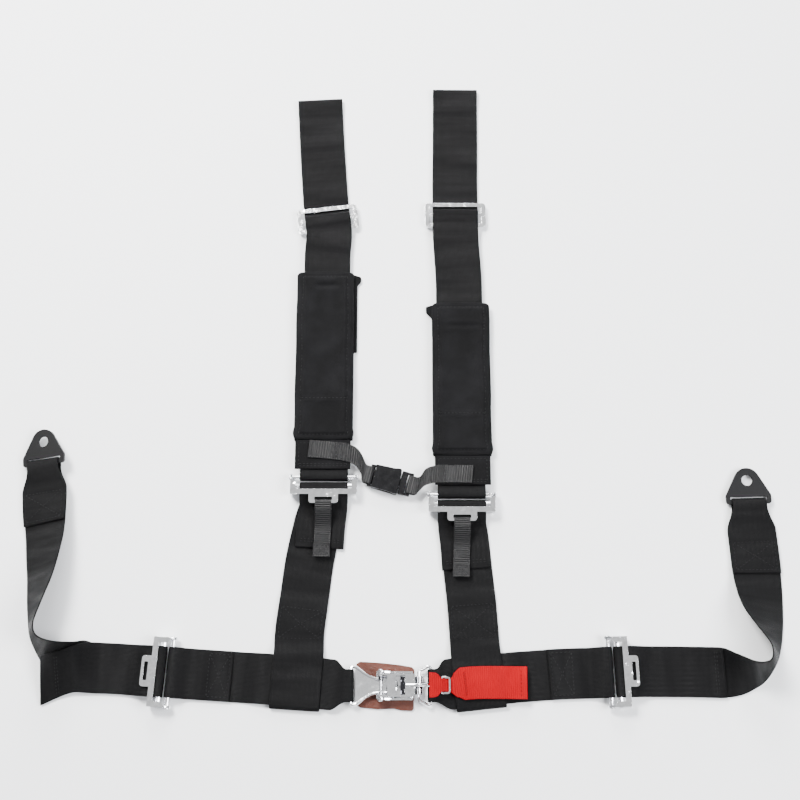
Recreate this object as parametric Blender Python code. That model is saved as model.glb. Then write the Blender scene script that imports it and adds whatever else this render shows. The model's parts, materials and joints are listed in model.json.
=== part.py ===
"""Four-point racing harness with a latch-and-link buckle, laid out flat.

Two-inch webbing, four tilt-lock adjusters, two three-bar slides, two
shoulder pads joined by a sternum strap, two bolt-in anchor plates and a
lever latch on a leather backing pad.  All dimensions are in millimetres and
are turned into metres when the meshes are made.  +X runs along the lap belt
to the latch side, +Y runs up the shoulder straps and +Z is up.
"""

import math

import bpy
from mathutils import Matrix, Vector, geometry

MM = 0.001

# ------------------------------------------------------- driving dimensions
WEB_WIDTH = 50.8
WEB = 1.5                # thickness of the two-inch webbing
GAP = 0.4                # air between touching layers
PITCH = WEB + GAP        # one layer of webbing to the next
HALF_WEB = WEB_WIDTH / 2
LAYOUT_CENTRE = Vector((-2.2, 21.6, 0.15))   # middle of the layout on the floor

# tilt-lock adjuster
AXIS_Z = 7.3             # height of its two bars over the floor
BAR_R = 3.0
TRUNNION_R = 2.0
PIN_R = 2.5
BAR_TO_PIN = 9.6
EAR_INSIDE = 33.2
EAR_THICK = 1.8
TILT_RANGE = 20.0
WRAP = BAR_R + 0.3 + WEB / 2      # mid-line radius of webbing on the bar
PIN_WRAP = PIN_R + 0.3 + WEB / 2

# three-bar slide
SLIDE_LENGTH = 68.0
SLIDE_HALF = 14.5
SLIDE_WINDOW = (2.0, 10.0)
SLIDE_THICK = 2.5
SLIDE_Z = 5.4

# bolt-in anchor plate
ANCHOR_THICK = 3.0
ANCHOR_BAR_HALF = 2.25
ANCHOR_SLOT = 3.2
ANCHOR_HOLE_R = 5.75
ANCHOR_HOLE_AT = 23.0
ANCHOR_APEX_R = 13.5
ANCHOR_HALF = 24.0
NECK_WIDTH = 36.0
ANCHOR_WRAP = 3.0 + WEB / 2

# shoulder straps: side, centre line and the height up the layout of each part
ADJUSTER_Y = {"left": -97.0, "right": -116.0}
STRAP_X = {"left": -80.5, "right": 65.0}
SLIDE_AT = {"left": (-81.0, 209.0, -0.122), "right": (62.0, 214.0, 0.0)}
PAD_SPAN = {"left": (-47.0, 145.0), "right": (-64.0, 109.0)}
PAD_X = {"left": -82.0, "right": 66.5}
PAD_HALF = 31.5
TAIL_END = {"left": 53.0, "right": 20.0}
FOLD_Y = {"left": 360.0, "right": 373.0}

# heights of the layers, at the middle of each thickness
SINGLE_Z = 1.2
LAYER_ONE = 4.95
LAYER_TWO = LAYER_ONE + PITCH
WRAP_Z = (0.9, 2.8, 4.7, 6.6)     # loop, lap, lap, loop

# latch
LATCH_Y = -303.0
LINK_Z = 6.8
LINK_BAR_X = -50.0
PIVOT = Vector((-19.5, LATCH_Y, 13.2))
RING_X = 31.0
RING_Z = 6.4


# ----------------------------------------------------------- small helpers
def clear_scene():
    for obj in list(bpy.data.objects):
        bpy.data.objects.remove(obj, do_unlink=True)


def material(name, colour, roughness, metallic=0.0):
    mat = bpy.data.materials.new(name)
    mat.use_nodes = True
    shader = mat.node_tree.nodes["Principled BSDF"]
    shader.inputs["Base Color"].default_value = (*colour, 1.0)
    shader.inputs["Roughness"].default_value = roughness
    shader.inputs["Metallic"].default_value = metallic
    return mat


def make_materials():
    return {
        "webbing": material("black_webbing", (0.012, 0.012, 0.014), 0.8),
        "tape": material("ribbed_tape", (0.02, 0.02, 0.022), 0.7),
        "pad": material("pad_fabric", (0.014, 0.014, 0.016), 0.85),
        "foam": material("foam", (0.05, 0.05, 0.05), 0.9),
        "chrome": material("chrome", (0.8, 0.81, 0.83), 0.12, 1.0),
        "zinc": material("bright_zinc", (0.75, 0.77, 0.8), 0.3, 1.0),
        "anchor": material("black_steel", (0.01, 0.01, 0.011), 0.4, 0.3),
        "spring": material("spring_steel", (0.5, 0.5, 0.52), 0.3, 1.0),
        "plastic": material("black_plastic", (0.012, 0.012, 0.013), 0.35),
        "red": material("red_webbing", (0.62, 0.01, 0.02), 0.7),
        "leather": material("brown_leather", (0.12, 0.035, 0.02), 0.55),
    }


def recentred(point):
    return (Vector(point) - LAYOUT_CENTRE) * MM


def mesh_from(name, verts, faces):
    mesh = bpy.data.meshes.new(name)
    mesh.from_pydata([Vector(v) * MM for v in verts], [], faces)
    mesh.validate()
    return mesh


def add_object(name, mesh, mat, origin=(0, 0, 0), turn=None):
    """Put a mesh, given in millimetres about its origin, at a layout point."""
    obj = bpy.data.objects.new(name, mesh)
    bpy.context.scene.collection.objects.link(obj)
    mesh.materials.clear()
    mesh.materials.append(mat)
    obj.matrix_world = Matrix.Translation(recentred(origin))
    if turn is not None:
        obj.matrix_world = obj.matrix_world @ turn.to_4x4()
    return obj


def smooth_round(mesh, angle=40.0):
    mesh.shade_smooth()
    mesh.set_sharp_from_angle(angle=math.radians(angle))


def fused(name, parts):
    """Boolean union of closed (verts, faces) solids, as one mesh."""
    objects = []
    for index, (verts, faces) in enumerate(parts):
        obj = bpy.data.objects.new(f"{name}_{index}", mesh_from(name, verts, faces))
        bpy.context.scene.collection.objects.link(obj)
        objects.append(obj)
    base = objects[0]
    for other in objects[1:]:
        union = base.modifiers.new("union", "BOOLEAN")
        union.operation = "UNION"
        union.object = other
    depsgraph = bpy.context.evaluated_depsgraph_get()
    mesh = bpy.data.meshes.new_from_object(base.evaluated_get(depsgraph))
    for obj in objects:
        bpy.data.objects.remove(obj, do_unlink=True)
    return mesh


# --------------------------------------------------------------- outlines
def arc(cx, cy, r, start, end, steps):
    """Points on a circle, from start to end degrees, both ends included."""
    points = []
    for i in range(steps + 1):
        a = math.radians(start + (end - start) * i / steps)
        points.append((cx + r * math.cos(a), cy + r * math.sin(a)))
    return points


def rounded_box(x0, y0, x1, y1, r, steps=4):
    return (arc(x1 - r, y0 + r, r, -90, 0, steps)
            + arc(x1 - r, y1 - r, r, 0, 90, steps)
            + arc(x0 + r, y1 - r, r, 90, 180, steps)
            + arc(x0 + r, y0 + r, r, 180, 270, steps))


def plate(outline, holes, low, high, place=lambda a, b, c: (a, b, c)):
    """Flat plate between two levels, with holes cut straight through."""
    loops = [outline] + list(holes)
    flat = [point for loop in loops for point in loop]
    count = len(flat)
    triangles = geometry.tessellate_polygon(
        [[Vector((a, b, 0.0)) for a, b in loop] for loop in loops])
    faces = []
    for tri in triangles:
        a, b, c = (Vector(flat[i]) for i in tri)
        if (b - a).cross(c - a) < 0:
            tri = (tri[0], tri[2], tri[1])
        faces.append(tuple(count + i for i in tri))
        faces.append((tri[0], tri[2], tri[1]))
    base = 0
    for number, loop in enumerate(loops):
        n = len(loop)
        area = sum(a[0] * b[1] - b[0] * a[1] for a, b in zip(loop, loop[1:] + loop[:1]))
        outward = (area > 0) == (number == 0)
        for i in range(n):
            j = (i + 1) % n
            side = (base + i, base + j, count + base + j, count + base + i)
            faces.append(side if outward else side[::-1])
        base += n
    verts = [place(a, b, low) for a, b in flat] + [place(a, b, high) for a, b in flat]
    return verts, faces


def side_plate(outline, holes, low, high):
    """The same plate stood up: outline in the X-Z plane, thickness along Y."""
    return plate(outline, holes, low, high, lambda a, b, c: (a, -c, b))


def tube(points, r, sides=10, closed=False):
    """Round bar along a chain of points; a closed chain makes a ring."""
    points = [Vector(p) for p in points]
    n = len(points)
    verts = []
    faces = []
    tangents = []
    for i in range(n):
        ahead = points[(i + 1) % n] if closed or i < n - 1 else points[i]
        behind = points[i - 1] if closed or i > 0 else points[i]
        tangents.append((ahead - behind).normalized())
    across = tangents[0].orthogonal().normalized()
    for i in range(n):
        across = (across - tangents[i] * across.dot(tangents[i])).normalized()
        up = tangents[i].cross(across)
        for k in range(sides):
            a = 2 * math.pi * k / sides
            verts.append(points[i] + r * (math.cos(a) * across + math.sin(a) * up))
    for i in range(n if closed else n - 1):
        j = (i + 1) % n
        for k in range(sides):
            m = (k + 1) % sides
            faces.append((i * sides + k, i * sides + m, j * sides + m, j * sides + k))
    if not closed:
        faces.append(tuple(range(sides))[::-1])
        faces.append(tuple((n - 1) * sides + k for k in range(sides)))
    return verts, faces


def turned(profile, sides=20):
    """Solid turned about Y from (y, radius) points in rising y."""
    verts = []
    faces = []
    for y, r in profile:
        for k in range(sides):
            a = 2 * math.pi * k / sides
            verts.append((r * math.cos(a), y, r * math.sin(a)))
    for i in range(len(profile) - 1):
        for k in range(sides):
            m = (k + 1) % sides
            faces.append((i * sides + m, i * sides + k,
                          (i + 1) * sides + k, (i + 1) * sides + m))
    faces.append(tuple(range(sides)))
    faces.append(tuple((len(profile) - 1) * sides + k for k in range(sides))[::-1])
    return verts, faces


# ----------------------------------------------------------------- webbing
class Guide:
    """A flat strip's centre line with its crosswise direction at every knot.

    Each knot is (t, centre, across).  t is the distance along the layout, and
    a smooth curve through the knots gives the strip at any t between them.
    """

    def __init__(self, knots, sheared=False):
        self.sheared = sheared
        self.t = [knot[0] for knot in knots]
        self.centre = [Vector(knot[1]) for knot in knots]
        self.across = [Vector(knot[2]).normalized() for knot in knots]

    def _slope(self, values, i):
        if i == 0:
            return (values[1] - values[0]) / (self.t[1] - self.t[0])
        if i == len(values) - 1:
            return (values[i] - values[i - 1]) / (self.t[i] - self.t[i - 1])
        before = (values[i] - values[i - 1]) / (self.t[i] - self.t[i - 1])
        after = (values[i + 1] - values[i]) / (self.t[i + 1] - self.t[i])
        return Vector([(a + b) / 2 if a * b > 1e-9 else 0.0 for a, b in zip(before, after)])

    def _curve(self, values, t):
        last = len(self.t) - 2
        i = 0
        while i < last and t > self.t[i + 1]:
            i += 1
        span = self.t[i + 1] - self.t[i]
        u = (t - self.t[i]) / span
        m0 = self._slope(values, i) * span
        m1 = self._slope(values, i + 1) * span
        if u < 0:
            return values[i] + m0 * u
        if u > 1:
            return values[i + 1] + m1 * (u - 1)
        return ((2 * u ** 3 - 3 * u ** 2 + 1) * values[i] + (u ** 3 - 2 * u ** 2 + u) * m0
                + (3 * u ** 2 - 2 * u ** 3) * values[i + 1] + (u ** 3 - u ** 2) * m1)

    def at(self, t, h):
        """Centre and crosswise direction at t, raised h along the normal."""
        across = self._curve(self.across, t).normalized()
        ahead = self._curve(self.centre, t + 0.5) - self._curve(self.centre, t - 0.5)
        if not self.sheared:
            across = (across - ahead * (across.dot(ahead) / ahead.length_squared)).normalized()
        normal = across.cross(ahead).normalized()
        if normal.z < 0:
            normal = -normal
        return self._curve(self.centre, t) + normal * h, across


def guide_in_y(points):
    """Flat guide up the layout from (y, x) points; t is y."""
    knots = []
    for i, (y, x) in enumerate(points):
        y0, x0 = points[max(i - 1, 0)]
        y1, x1 = points[min(i + 1, len(points) - 1)]
        slope = (x1 - x0) / (y1 - y0)
        knots.append((y, (x, y, 0), (1, -slope, 0)))
    return Guide(knots)


def guide_in_x(points):
    """Flat guide along the lap belt from (x, y) points; t is x."""
    knots = []
    for i, (x, y) in enumerate(points):
        x0, y0 = points[max(i - 1, 0)]
        x1, y1 = points[min(i + 1, len(points) - 1)]
        slope = (y1 - y0) / (x1 - x0)
        knots.append((x, (x, y, 0), (-slope, 1, 0)))
    return Guide(knots)


def ramp(t0, h0, t1, h1, steps=6):
    """Half a cosine wave from one height to another."""
    points = []
    for i in range(steps + 1):
        u = i / steps
        points.append((t0 + (t1 - t0) * u, h0 + (h1 - h0) * (1 - math.cos(math.pi * u)) / 2))
    return points


def run(t0, t1, h, step=30.0):
    count = max(1, round(abs(t1 - t0) / step))
    return [(t0 + (t1 - t0) * i / count, h) for i in range(count + 1)]


def stations(guide, route, width=WEB_WIDTH):
    """Strip sections for a route of (t, h) points; width may be a function."""
    out = []
    last = None
    for t, h in route:
        if last is not None and abs(t - last[0]) + abs(h - last[1]) < 0.05:
            continue
        last = (t, h)
        centre, across = guide.at(t, h)
        out.append((centre, across, width(t) if callable(width) else width))
    return out


def ribbon(sections, thick=WEB, twisted=False):
    """Closed strip of even thickness through (centre, across, width) sections.

    A twisted strip gets a point in the middle of each panel, so that its two
    faces and any layer beside it are cut alike and can't pass through.
    """
    verts = []
    n = len(sections)
    for i, (centre, across, width) in enumerate(sections):
        before = (centre - sections[i - 1][0]).normalized() if i > 0 else None
        after = (sections[i + 1][0] - centre).normalized() if i < n - 1 else None
        if before is None:
            tangent = after
            stretch = 1.0
        elif after is None:
            tangent = before
            stretch = 1.0
        else:
            tangent = (before + after).normalized()
            stretch = 1.0 / max(0.7, tangent.dot(after))
        normal = across.cross(tangent).normalized() * (thick / 2 * stretch)
        side = across * (width / 2)
        verts.extend((centre - side - normal, centre + side - normal,
                      centre + side + normal, centre - side + normal))
    faces = []
    for i in range(n - 1):
        a = 4 * i
        b = a + 4
        for k in range(4):
            m = (k + 1) % 4
            if twisted and k % 2 == 0:
                corners = (a + k, b + k, b + m, a + m)
                middle = len(verts)
                verts.append(sum((verts[c] for c in corners), Vector()) / 4)
                for c, d in zip(corners, corners[1:] + corners[:1]):
                    faces.append((c, d, middle))
                continue
            faces.append((a + k, b + k, b + m))
            faces.append((a + k, b + m, a + m))
    faces.append((0, 1, 2, 3))
    end = 4 * (n - 1)
    faces.append((end + 3, end + 2, end + 1, end))
    return verts, faces


def strap(name, sections, mat, thick=WEB, twisted=False):
    """A webbing node whose mesh is in layout coordinates."""
    verts, faces = ribbon(sections, thick, twisted)
    verts = [v - LAYOUT_CENTRE for v in verts]
    return add_object(name, mesh_from(name, verts, faces), mat, LAYOUT_CENTRE)


# -------------------------------------------------------- shoulder straps
def upper_guide(side):
    adjuster = ADJUSTER_Y[side]
    x = STRAP_X[side]
    slide_x, slide_y, lean = SLIDE_AT[side]
    pad_top = PAD_SPAN[side][1] + 18.0
    top_x = slide_x + lean * 26
    end_x = -93.0 if side == "left" else 63.5
    return guide_in_y([
        (adjuster - 20, x), (0.0, x), (pad_top - 40, x), (pad_top, x),
        (slide_y - 17, slide_x - lean * 17), (slide_y, slide_x),
        (slide_y + 17, slide_x + lean * 17), (slide_y + 36, top_x + lean * 4),
        (300.0, (top_x + end_x) / 2), (378.0, end_x)])


def upper_strap(side, mats):
    """From the adjuster's pin through the pad and the slide to the fold."""
    pin = ADJUSTER_Y[side] + BAR_TO_PIN
    tail = TAIL_END[side]
    slide = SLIDE_AT[side][1]
    fold = FOLD_Y[side]
    under = SLIDE_Z - SLIDE_THICK / 2 - 0.35 - WEB / 2
    over = SLIDE_Z + SLIDE_THICK / 2 + 0.35 + WEB / 2
    route = [(pin + 42, LAYER_ONE)]
    route += ramp(pin + 18, LAYER_ONE, pin + 2, AXIS_Z - PIN_WRAP)
    route += arc(pin, AXIS_Z, PIN_WRAP, -90, -270, 9)
    route += ramp(pin + 1, AXIS_Z + PIN_WRAP, pin + 15, LAYER_TWO)
    route += run(pin + 18, pin + 50, LAYER_TWO)
    route += ramp(pin + 50, LAYER_TWO, tail - 28, LAYER_ONE)
    route += run(tail - 20, slide - 44, LAYER_ONE)
    route += ramp(slide - 44, LAYER_ONE, slide - 20, under)
    route += [(slide - 9.6, under), (slide - 2.4, over), (slide + 2.3, over),
              (slide + 8.5, under - PITCH)]
    route += run(slide + 15, fold - 3, under - PITCH, 26.0)
    route += arc(fold - 3, under - PITCH + 2.1, 2.1, -90, 90, 6)
    route += ramp(fold - 4, under - PITCH + 4.2, fold - 32, under)
    route += run(fold - 40, slide + 15, under, 26.0)
    route += [(slide + 9.3, under), (slide + 3.1, over + PITCH), (slide - 3.2, over + PITCH),
              (slide - 9.6, over)]
    route += ramp(slide - 15.5, over, slide - 40, LAYER_TWO)
    route += run(slide - 46, tail, LAYER_TWO)
    sections = stations(upper_guide(side), route)
    return strap(f"shoulder_{side}_upper_strap", sections, mats["webbing"])


LOWER_X = {
    "left": [(-250.0, -103.2), (-216.0, -99.2), (-174.0, -94.0), (-135.0, -86.0)],
    "right": [(-250.0, 76.0), (-222.0, 74.2), (-190.0, 71.2), (-150.0, 67.4)],
}
WRAP_X = {"left": [(-332.0, -107.4), (-298.0, -105.2), (-272.0, -103.5)],
          "right": [(-332.0, 83.4), (-298.0, 80.0), (-272.0, 77.4)]}
TAIL_X = {"left": [(-170.0, -84.8), (-140.0, -83.0)],
          "right": [(-190.0, 69.6), (-160.0, 67.6)]}
SHOULDER_TAIL_Y = {"left": -162.0, "right": -184.0}
LAP_EDGE_Y = {"left": (-272.8, -323.7), "right": (-271.9, -323.3)}
LOOP_END_Y = {"left": -222.0, "right": -218.0}


def near_adjuster(side):
    y = ADJUSTER_Y[side]
    return [(y + step, STRAP_X[side]) for step in (-16, -10, 6)]


def lower_strap(side, mats):
    """From its free tail, round the knurled bar and down round the lap belt."""
    bar = ADJUSTER_Y[side]
    top, bottom = LAP_EDGE_Y[side]
    tail_guide = guide_in_y(TAIL_X[side] + near_adjuster(side))
    main_guide = guide_in_y(WRAP_X[side] + LOWER_X[side] + near_adjuster(side))
    tail_z = SINGLE_Z + PITCH
    route = run(SHOULDER_TAIL_Y[side], bar - 34, tail_z, 16.0)
    route += ramp(bar - 28, tail_z, bar - 5, AXIS_Z + WRAP, 8)
    sections = stations(tail_guide, route)
    route = arc(bar, AXIS_Z, WRAP, 90, -90, 10)
    route += ramp(bar - 2, AXIS_Z - WRAP, bar - 16, SINGLE_Z, 4)
    loop_end = LOOP_END_Y[side]
    route += run(bar - 24, loop_end + 18, SINGLE_Z, 20.0)
    route += ramp(loop_end + 14, SINGLE_Z, loop_end + 3, WRAP_Z[1], 4)
    route += run(loop_end - 6, top + 16, WRAP_Z[1], 20.0)
    route += ramp(top + 14, WRAP_Z[1], top + 2, WRAP_Z[3], 5)
    route += run(top - 2, bottom, WRAP_Z[3], 26.0)
    turn = (WRAP_Z[3] - WRAP_Z[0]) / 2
    route += arc(bottom - 0.5, WRAP_Z[0] + turn, turn, 90, 270, 6)
    route += run(bottom + 2, loop_end, WRAP_Z[0], 26.0)
    sections += stations(main_guide, route)
    return strap(f"shoulder_{side}_lower_strap", sections, mats["webbing"])


TAPE_WIDTH = 17.2
TAPE = 1.2
TAPE_END_Y = {"left": -171.0, "right": -192.0}
TAB_BAR = 17.7           # knurled bar to the middle of the tab's outer bar
TAB_Z = 6.2              # middle of the top plate over the bars' axis


def pull_tape(side, mats):
    """Ribbed tape looped through the tab and stitched at its free end."""
    bar = ADJUSTER_Y[side]
    x = STRAP_X[side]
    end = TAPE_END_Y[side]
    rest = SINGLE_Z + PITCH + WEB / 2 + GAP + TAPE / 2
    turn = 2.6
    hub = AXIS_Z + TAB_Z
    guide = guide_in_y([(end - 2, x - 1.5), (bar - 44, x - 0.4), (bar - 30, x),
                        (bar - 22, x), (bar - 10, x)])
    route = run(end + 1, bar - 44, rest, 16.0)
    route += ramp(bar - 40, rest, bar - TAB_BAR, hub - turn, 8)
    route += arc(bar - TAB_BAR, hub, turn, -90, 90, 8)
    route += ramp(bar - TAB_BAR - 1, hub + turn, bar - 46, rest + TAPE + GAP, 8)
    route += run(bar - 52, end, rest + TAPE + GAP, 16.0)
    sections = stations(guide, route, TAPE_WIDTH)
    return strap(f"shoulder_{side}_pull_tape", sections, mats["tape"], TAPE)


# ------------------------------------------------------------- lap straps
LAP_BAR_X = {"left": -243.0, "right": 222.5}
LAP_INNER = {
    "left": [(-262.0, -287.8), (-243.0, -289.05), (-223.0, -290.37), (-180.0, -293.2),
             (-130.0, -296.5), (-90.0, -299.6), (-60.0, -302.8), (-54.0, -303.0),
             (-44.0, -303.0)],
    "right": [(26.0, -303.0), (36.0, -303.0), (42.0, -302.7), (56.0, -300.7),
              (79.0, -298.3), (104.0, -295.8), (130.0, -293.4), (164.0, -291.1),
              (200.0, -289.98), (222.5, -289.3), (245.0, -288.62)],
}
SHORT_END_X = {"left": (-122.0, -171.5), "right": (116.0, 152.0)}
BUCKLE_BAR = {"left": (LINK_BAR_X, LINK_Z, 1.7), "right": (RING_X, RING_Z, 1.6)}
BUCKLE_WIDTH = 32.6


def lap_inner_strap(side, mats):
    """Buckle bar to adjuster pin, doubled back and sewn at both ends."""
    away = -1.0 if side == "left" else 1.0
    bar_x, bar_z, bar_r = BUCKLE_BAR[side]
    turn = bar_r + 0.35 + WEB / 2
    pin = LAP_BAR_X[side] - away * BAR_TO_PIN
    short_buckle, short_pin = SHORT_END_X[side]
    clear = bar_x + (-28.0 if side == "left" else 21.0)
    route = run(short_buckle, clear, WRAP_Z[1])
    route += ramp(clear, WRAP_Z[1], bar_x + away * 4, bar_z - turn)
    if side == "left":
        route += arc(bar_x, bar_z, turn, -90, 90, 9)
    else:
        route += arc(bar_x, bar_z, turn, 270, 90, 9)
    route += ramp(bar_x + away * 3, bar_z + turn, clear, WRAP_Z[2], 8)
    wrap_far = -140.0 if side == "left" else 116.0
    route += run(clear + away * 6, wrap_far, WRAP_Z[2])
    route += ramp(wrap_far, WRAP_Z[2], wrap_far + away * 20, SINGLE_Z)
    route += run(wrap_far + away * 26, pin - away * 18, SINGLE_Z)
    route += ramp(pin - away * 16, SINGLE_Z, pin - away * 1, AXIS_Z - PIN_WRAP)
    if side == "left":
        route += arc(pin, AXIS_Z, PIN_WRAP, -90, -270, 9)
    else:
        route += arc(pin, AXIS_Z, PIN_WRAP, -90, 90, 9)
    route += ramp(pin - away * 1, AXIS_Z + PIN_WRAP, pin - away * 22, SINGLE_Z + PITCH, 8)
    route += run(pin - away * 28, short_pin, SINGLE_Z + PITCH, 12.0)

    def width(t):
        reach = abs(t - bar_x)
        u = min(1.0, max(0.0, (reach - 5.0) / 14.0))
        return BUCKLE_WIDTH + (WEB_WIDTH - BUCKLE_WIDTH) * (3 * u ** 2 - 2 * u ** 3)

    sections = stations(guide_in_x(LAP_INNER[side]), route, width)
    return strap(f"lap_{side}_inner_strap", sections, mats["webbing"])


# outer edge on the floor (x, y) and the roll that lifts the inner edge
CORNER = {
    "left": [(-325.0, -309.0, 0), (-345.0, -301.0, 12), (-358.0, -289.5, 36),
             (-368.5, -276.0, 60), (-376.5, -262.0, 72), (-382.0, -246.0, 70),
             (-385.0, -225.0, 60), (-387.5, -195.0, 45), (-391.5, -160.0, 29),
             (-396.5, -125.0, 18), (-399.0, -100.0, 15)],
    "right": [(312.0, -314.7, 0), (331.0, -314.5, 14), (349.0, -311.5, 36),
              (366.0, -303.0, 58), (379.0, -290.0, 72), (388.5, -272.0, 65),
              (393.0, -252.0, 47), (395.5, -228.0, 25), (396.5, -200.0, 8),
              (396.0, -170.0, 0), (394.3, -140.0, 0)],
}
LAP_OUTER_FLAT = {"left": [(-223.0, -290.37), (-243.0, -289.05), (-262.0, -287.8),
                           (-300.0, -285.3)],
                  "right": [(200.0, -289.98), (222.5, -289.3), (245.0, -288.62),
                            (285.0, -288.8)]}
LAP_LEAN = {"left": -0.066, "right": 0.03}
ANCHOR_BAR = {"left": (-377.0, -72.2, 10.2), "right": (367.8, -113.1, 4.8)}
ANCHOR_ROLL = {"left": 15.0, "right": 0.0}
OUTER_LOOP_END = {"left": 66.0, "right": 77.0}
LEFT_TAIL = [(-300.0, -285.3, 3.1, 0.0), (-306.0, -285.0, 3.6, 0.03),
             (-312.0, -284.9, 5.6, 0.08), (-318.0, -285.2, 8.8, 0.2),
             (-324.0, -286.0, 13.6, 0.38), (-330.0, -287.3, 17.0, 0.52),
             (-336.0, -289.1, 16.8, 0.56), (-342.0, -291.1, 16.0, 0.56),
             (-348.0, -293.1, 14.4, 0.52), (-354.0, -295.1, 12.9, 0.46),
             (-360.0, -297.0, 10.9, 0.37), (-364.0, -298.2, 9.0, 0.3)]
RIGHT_TAIL_X = 333.0
LOOP_H = PITCH + 0.35


def corner_guide(side):
    """Strip that turns the corner on its outer edge; t grows outwards."""
    sign = -1.0 if side == "left" else 1.0
    knots = []
    for x, y in LAP_OUTER_FLAT[side]:
        knots.append((sign * x, (x, y, SINGLE_Z), (-LAP_LEAN[side], 1.0, 0.0)))
    edge = CORNER[side]
    t = sign * edge[0][0]
    for i, (x, y, roll) in enumerate(edge):
        before = edge[max(i - 1, 0)]
        after = edge[min(i + 1, len(edge) - 1)]
        ahead = Vector((after[0] - before[0], after[1] - before[1], 0)).normalized()
        inward = Vector((-ahead.y, ahead.x, 0)) * sign
        lift = math.radians(roll)
        across = inward * math.cos(lift) + Vector((0, 0, math.sin(lift)))
        if i > 0:
            t += math.hypot(x - edge[i - 1][0], y - edge[i - 1][1])
        knots.append((t, Vector((x, y, SINGLE_Z)) + across * HALF_WEB, across))
    bar = Vector(ANCHOR_BAR[side])
    turn = anchor_turn(side)
    along, bar_axis, normal = (turn @ Vector(axis) for axis in ((1, 0, 0), (0, 1, 0), (0, 0, 1)))
    centre = bar - normal * (PITCH / 2)
    t += (centre - knots[-1][1]).length
    for step in (-12.0, -6.0, 6.0):
        knots.append((t + step, centre + along * step, sign * bar_axis))
    return Guide(knots, sheared=True), t


def anchor_turn(side):
    """Anchor frame: local X to the bolt hole, local Y along the swivel bar."""
    heading = math.radians(94.8 if side == "left" else 91.6)
    roll = math.radians(ANCHOR_ROLL[side])
    return (Matrix.Rotation(heading, 3, "Z") @ Matrix.Rotation(-roll, 3, "X"))


def outer_sign(side):
    return -1.0 if side == "left" else 1.0


def lap_outer_strap(side, mats):
    """Anchor loop, corner on edge, adjuster and free tail, in one strip."""
    sign = outer_sign(side)
    guide, bar_t = corner_guide(side)
    bar = sign * LAP_BAR_X[side]
    loop_end = bar_t - OUTER_LOOP_END[side]
    rise = AXIS_Z - SINGLE_Z
    route = run(loop_end, bar_t - 26, LOOP_H, 4.5)
    route += ramp(bar_t - 22, LOOP_H, bar_t - 2, PITCH / 2 + ANCHOR_WRAP, 6)
    route += arc(bar_t, PITCH / 2, ANCHOR_WRAP, 90, -90, 8)
    route += ramp(bar_t - 2, PITCH / 2 - ANCHOR_WRAP, bar_t - 22, 0.0, 6)
    route += run(bar_t - 28, sign * LAP_OUTER_FLAT[side][-1][0], 0.0, 4.5)
    route += run(sign * LAP_OUTER_FLAT[side][-1][0] - 8, bar + 18, 0.0, 20.0)
    route += ramp(bar + 16, 0.0, bar + 2, rise - WRAP, 4)
    route += arc(bar, rise, WRAP, 270, 90, 10)

    def width(t):
        u = min(1.0, max(0.0, (bar_t - t - 6.0) / 24.0))
        return NECK_WIDTH + (WEB_WIDTH - NECK_WIDTH) * (3 * u ** 2 - 2 * u ** 3)

    sections = stations(guide, route, width)
    drop = [(bar + 9.5, rise + WRAP)] + ramp(bar + 9.5, rise + WRAP, bar + 34, PITCH, 8)
    if side == "right":
        drop += run(bar + 40, 300.0, PITCH, 12.0)
        drop += run(304.0, RIGHT_TAIL_X, LOOP_H, 4.5)
        sections += stations(guide, drop)
    else:
        drop += run(bar + 40, 297.0, PITCH, 12.0)
        sections += stations(guide, drop)
        knots = [(-x, (x, y, z), (0.0, math.cos(tilt), math.sin(tilt)))
                 for x, y, z, tilt in LEFT_TAIL]
        sections += stations(Guide(knots, sheared=True), run(301.0, 364.0, 0.0, 4.5))
    for centre, across, wide in sections:
        low = centre.z - abs(across.z) * wide / 2 - WEB / 2
        centre.z += max(0.0, 0.2 - low)
    return strap(f"lap_{side}_outer_strap", sections, mats["webbing"], twisted=True)


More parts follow.
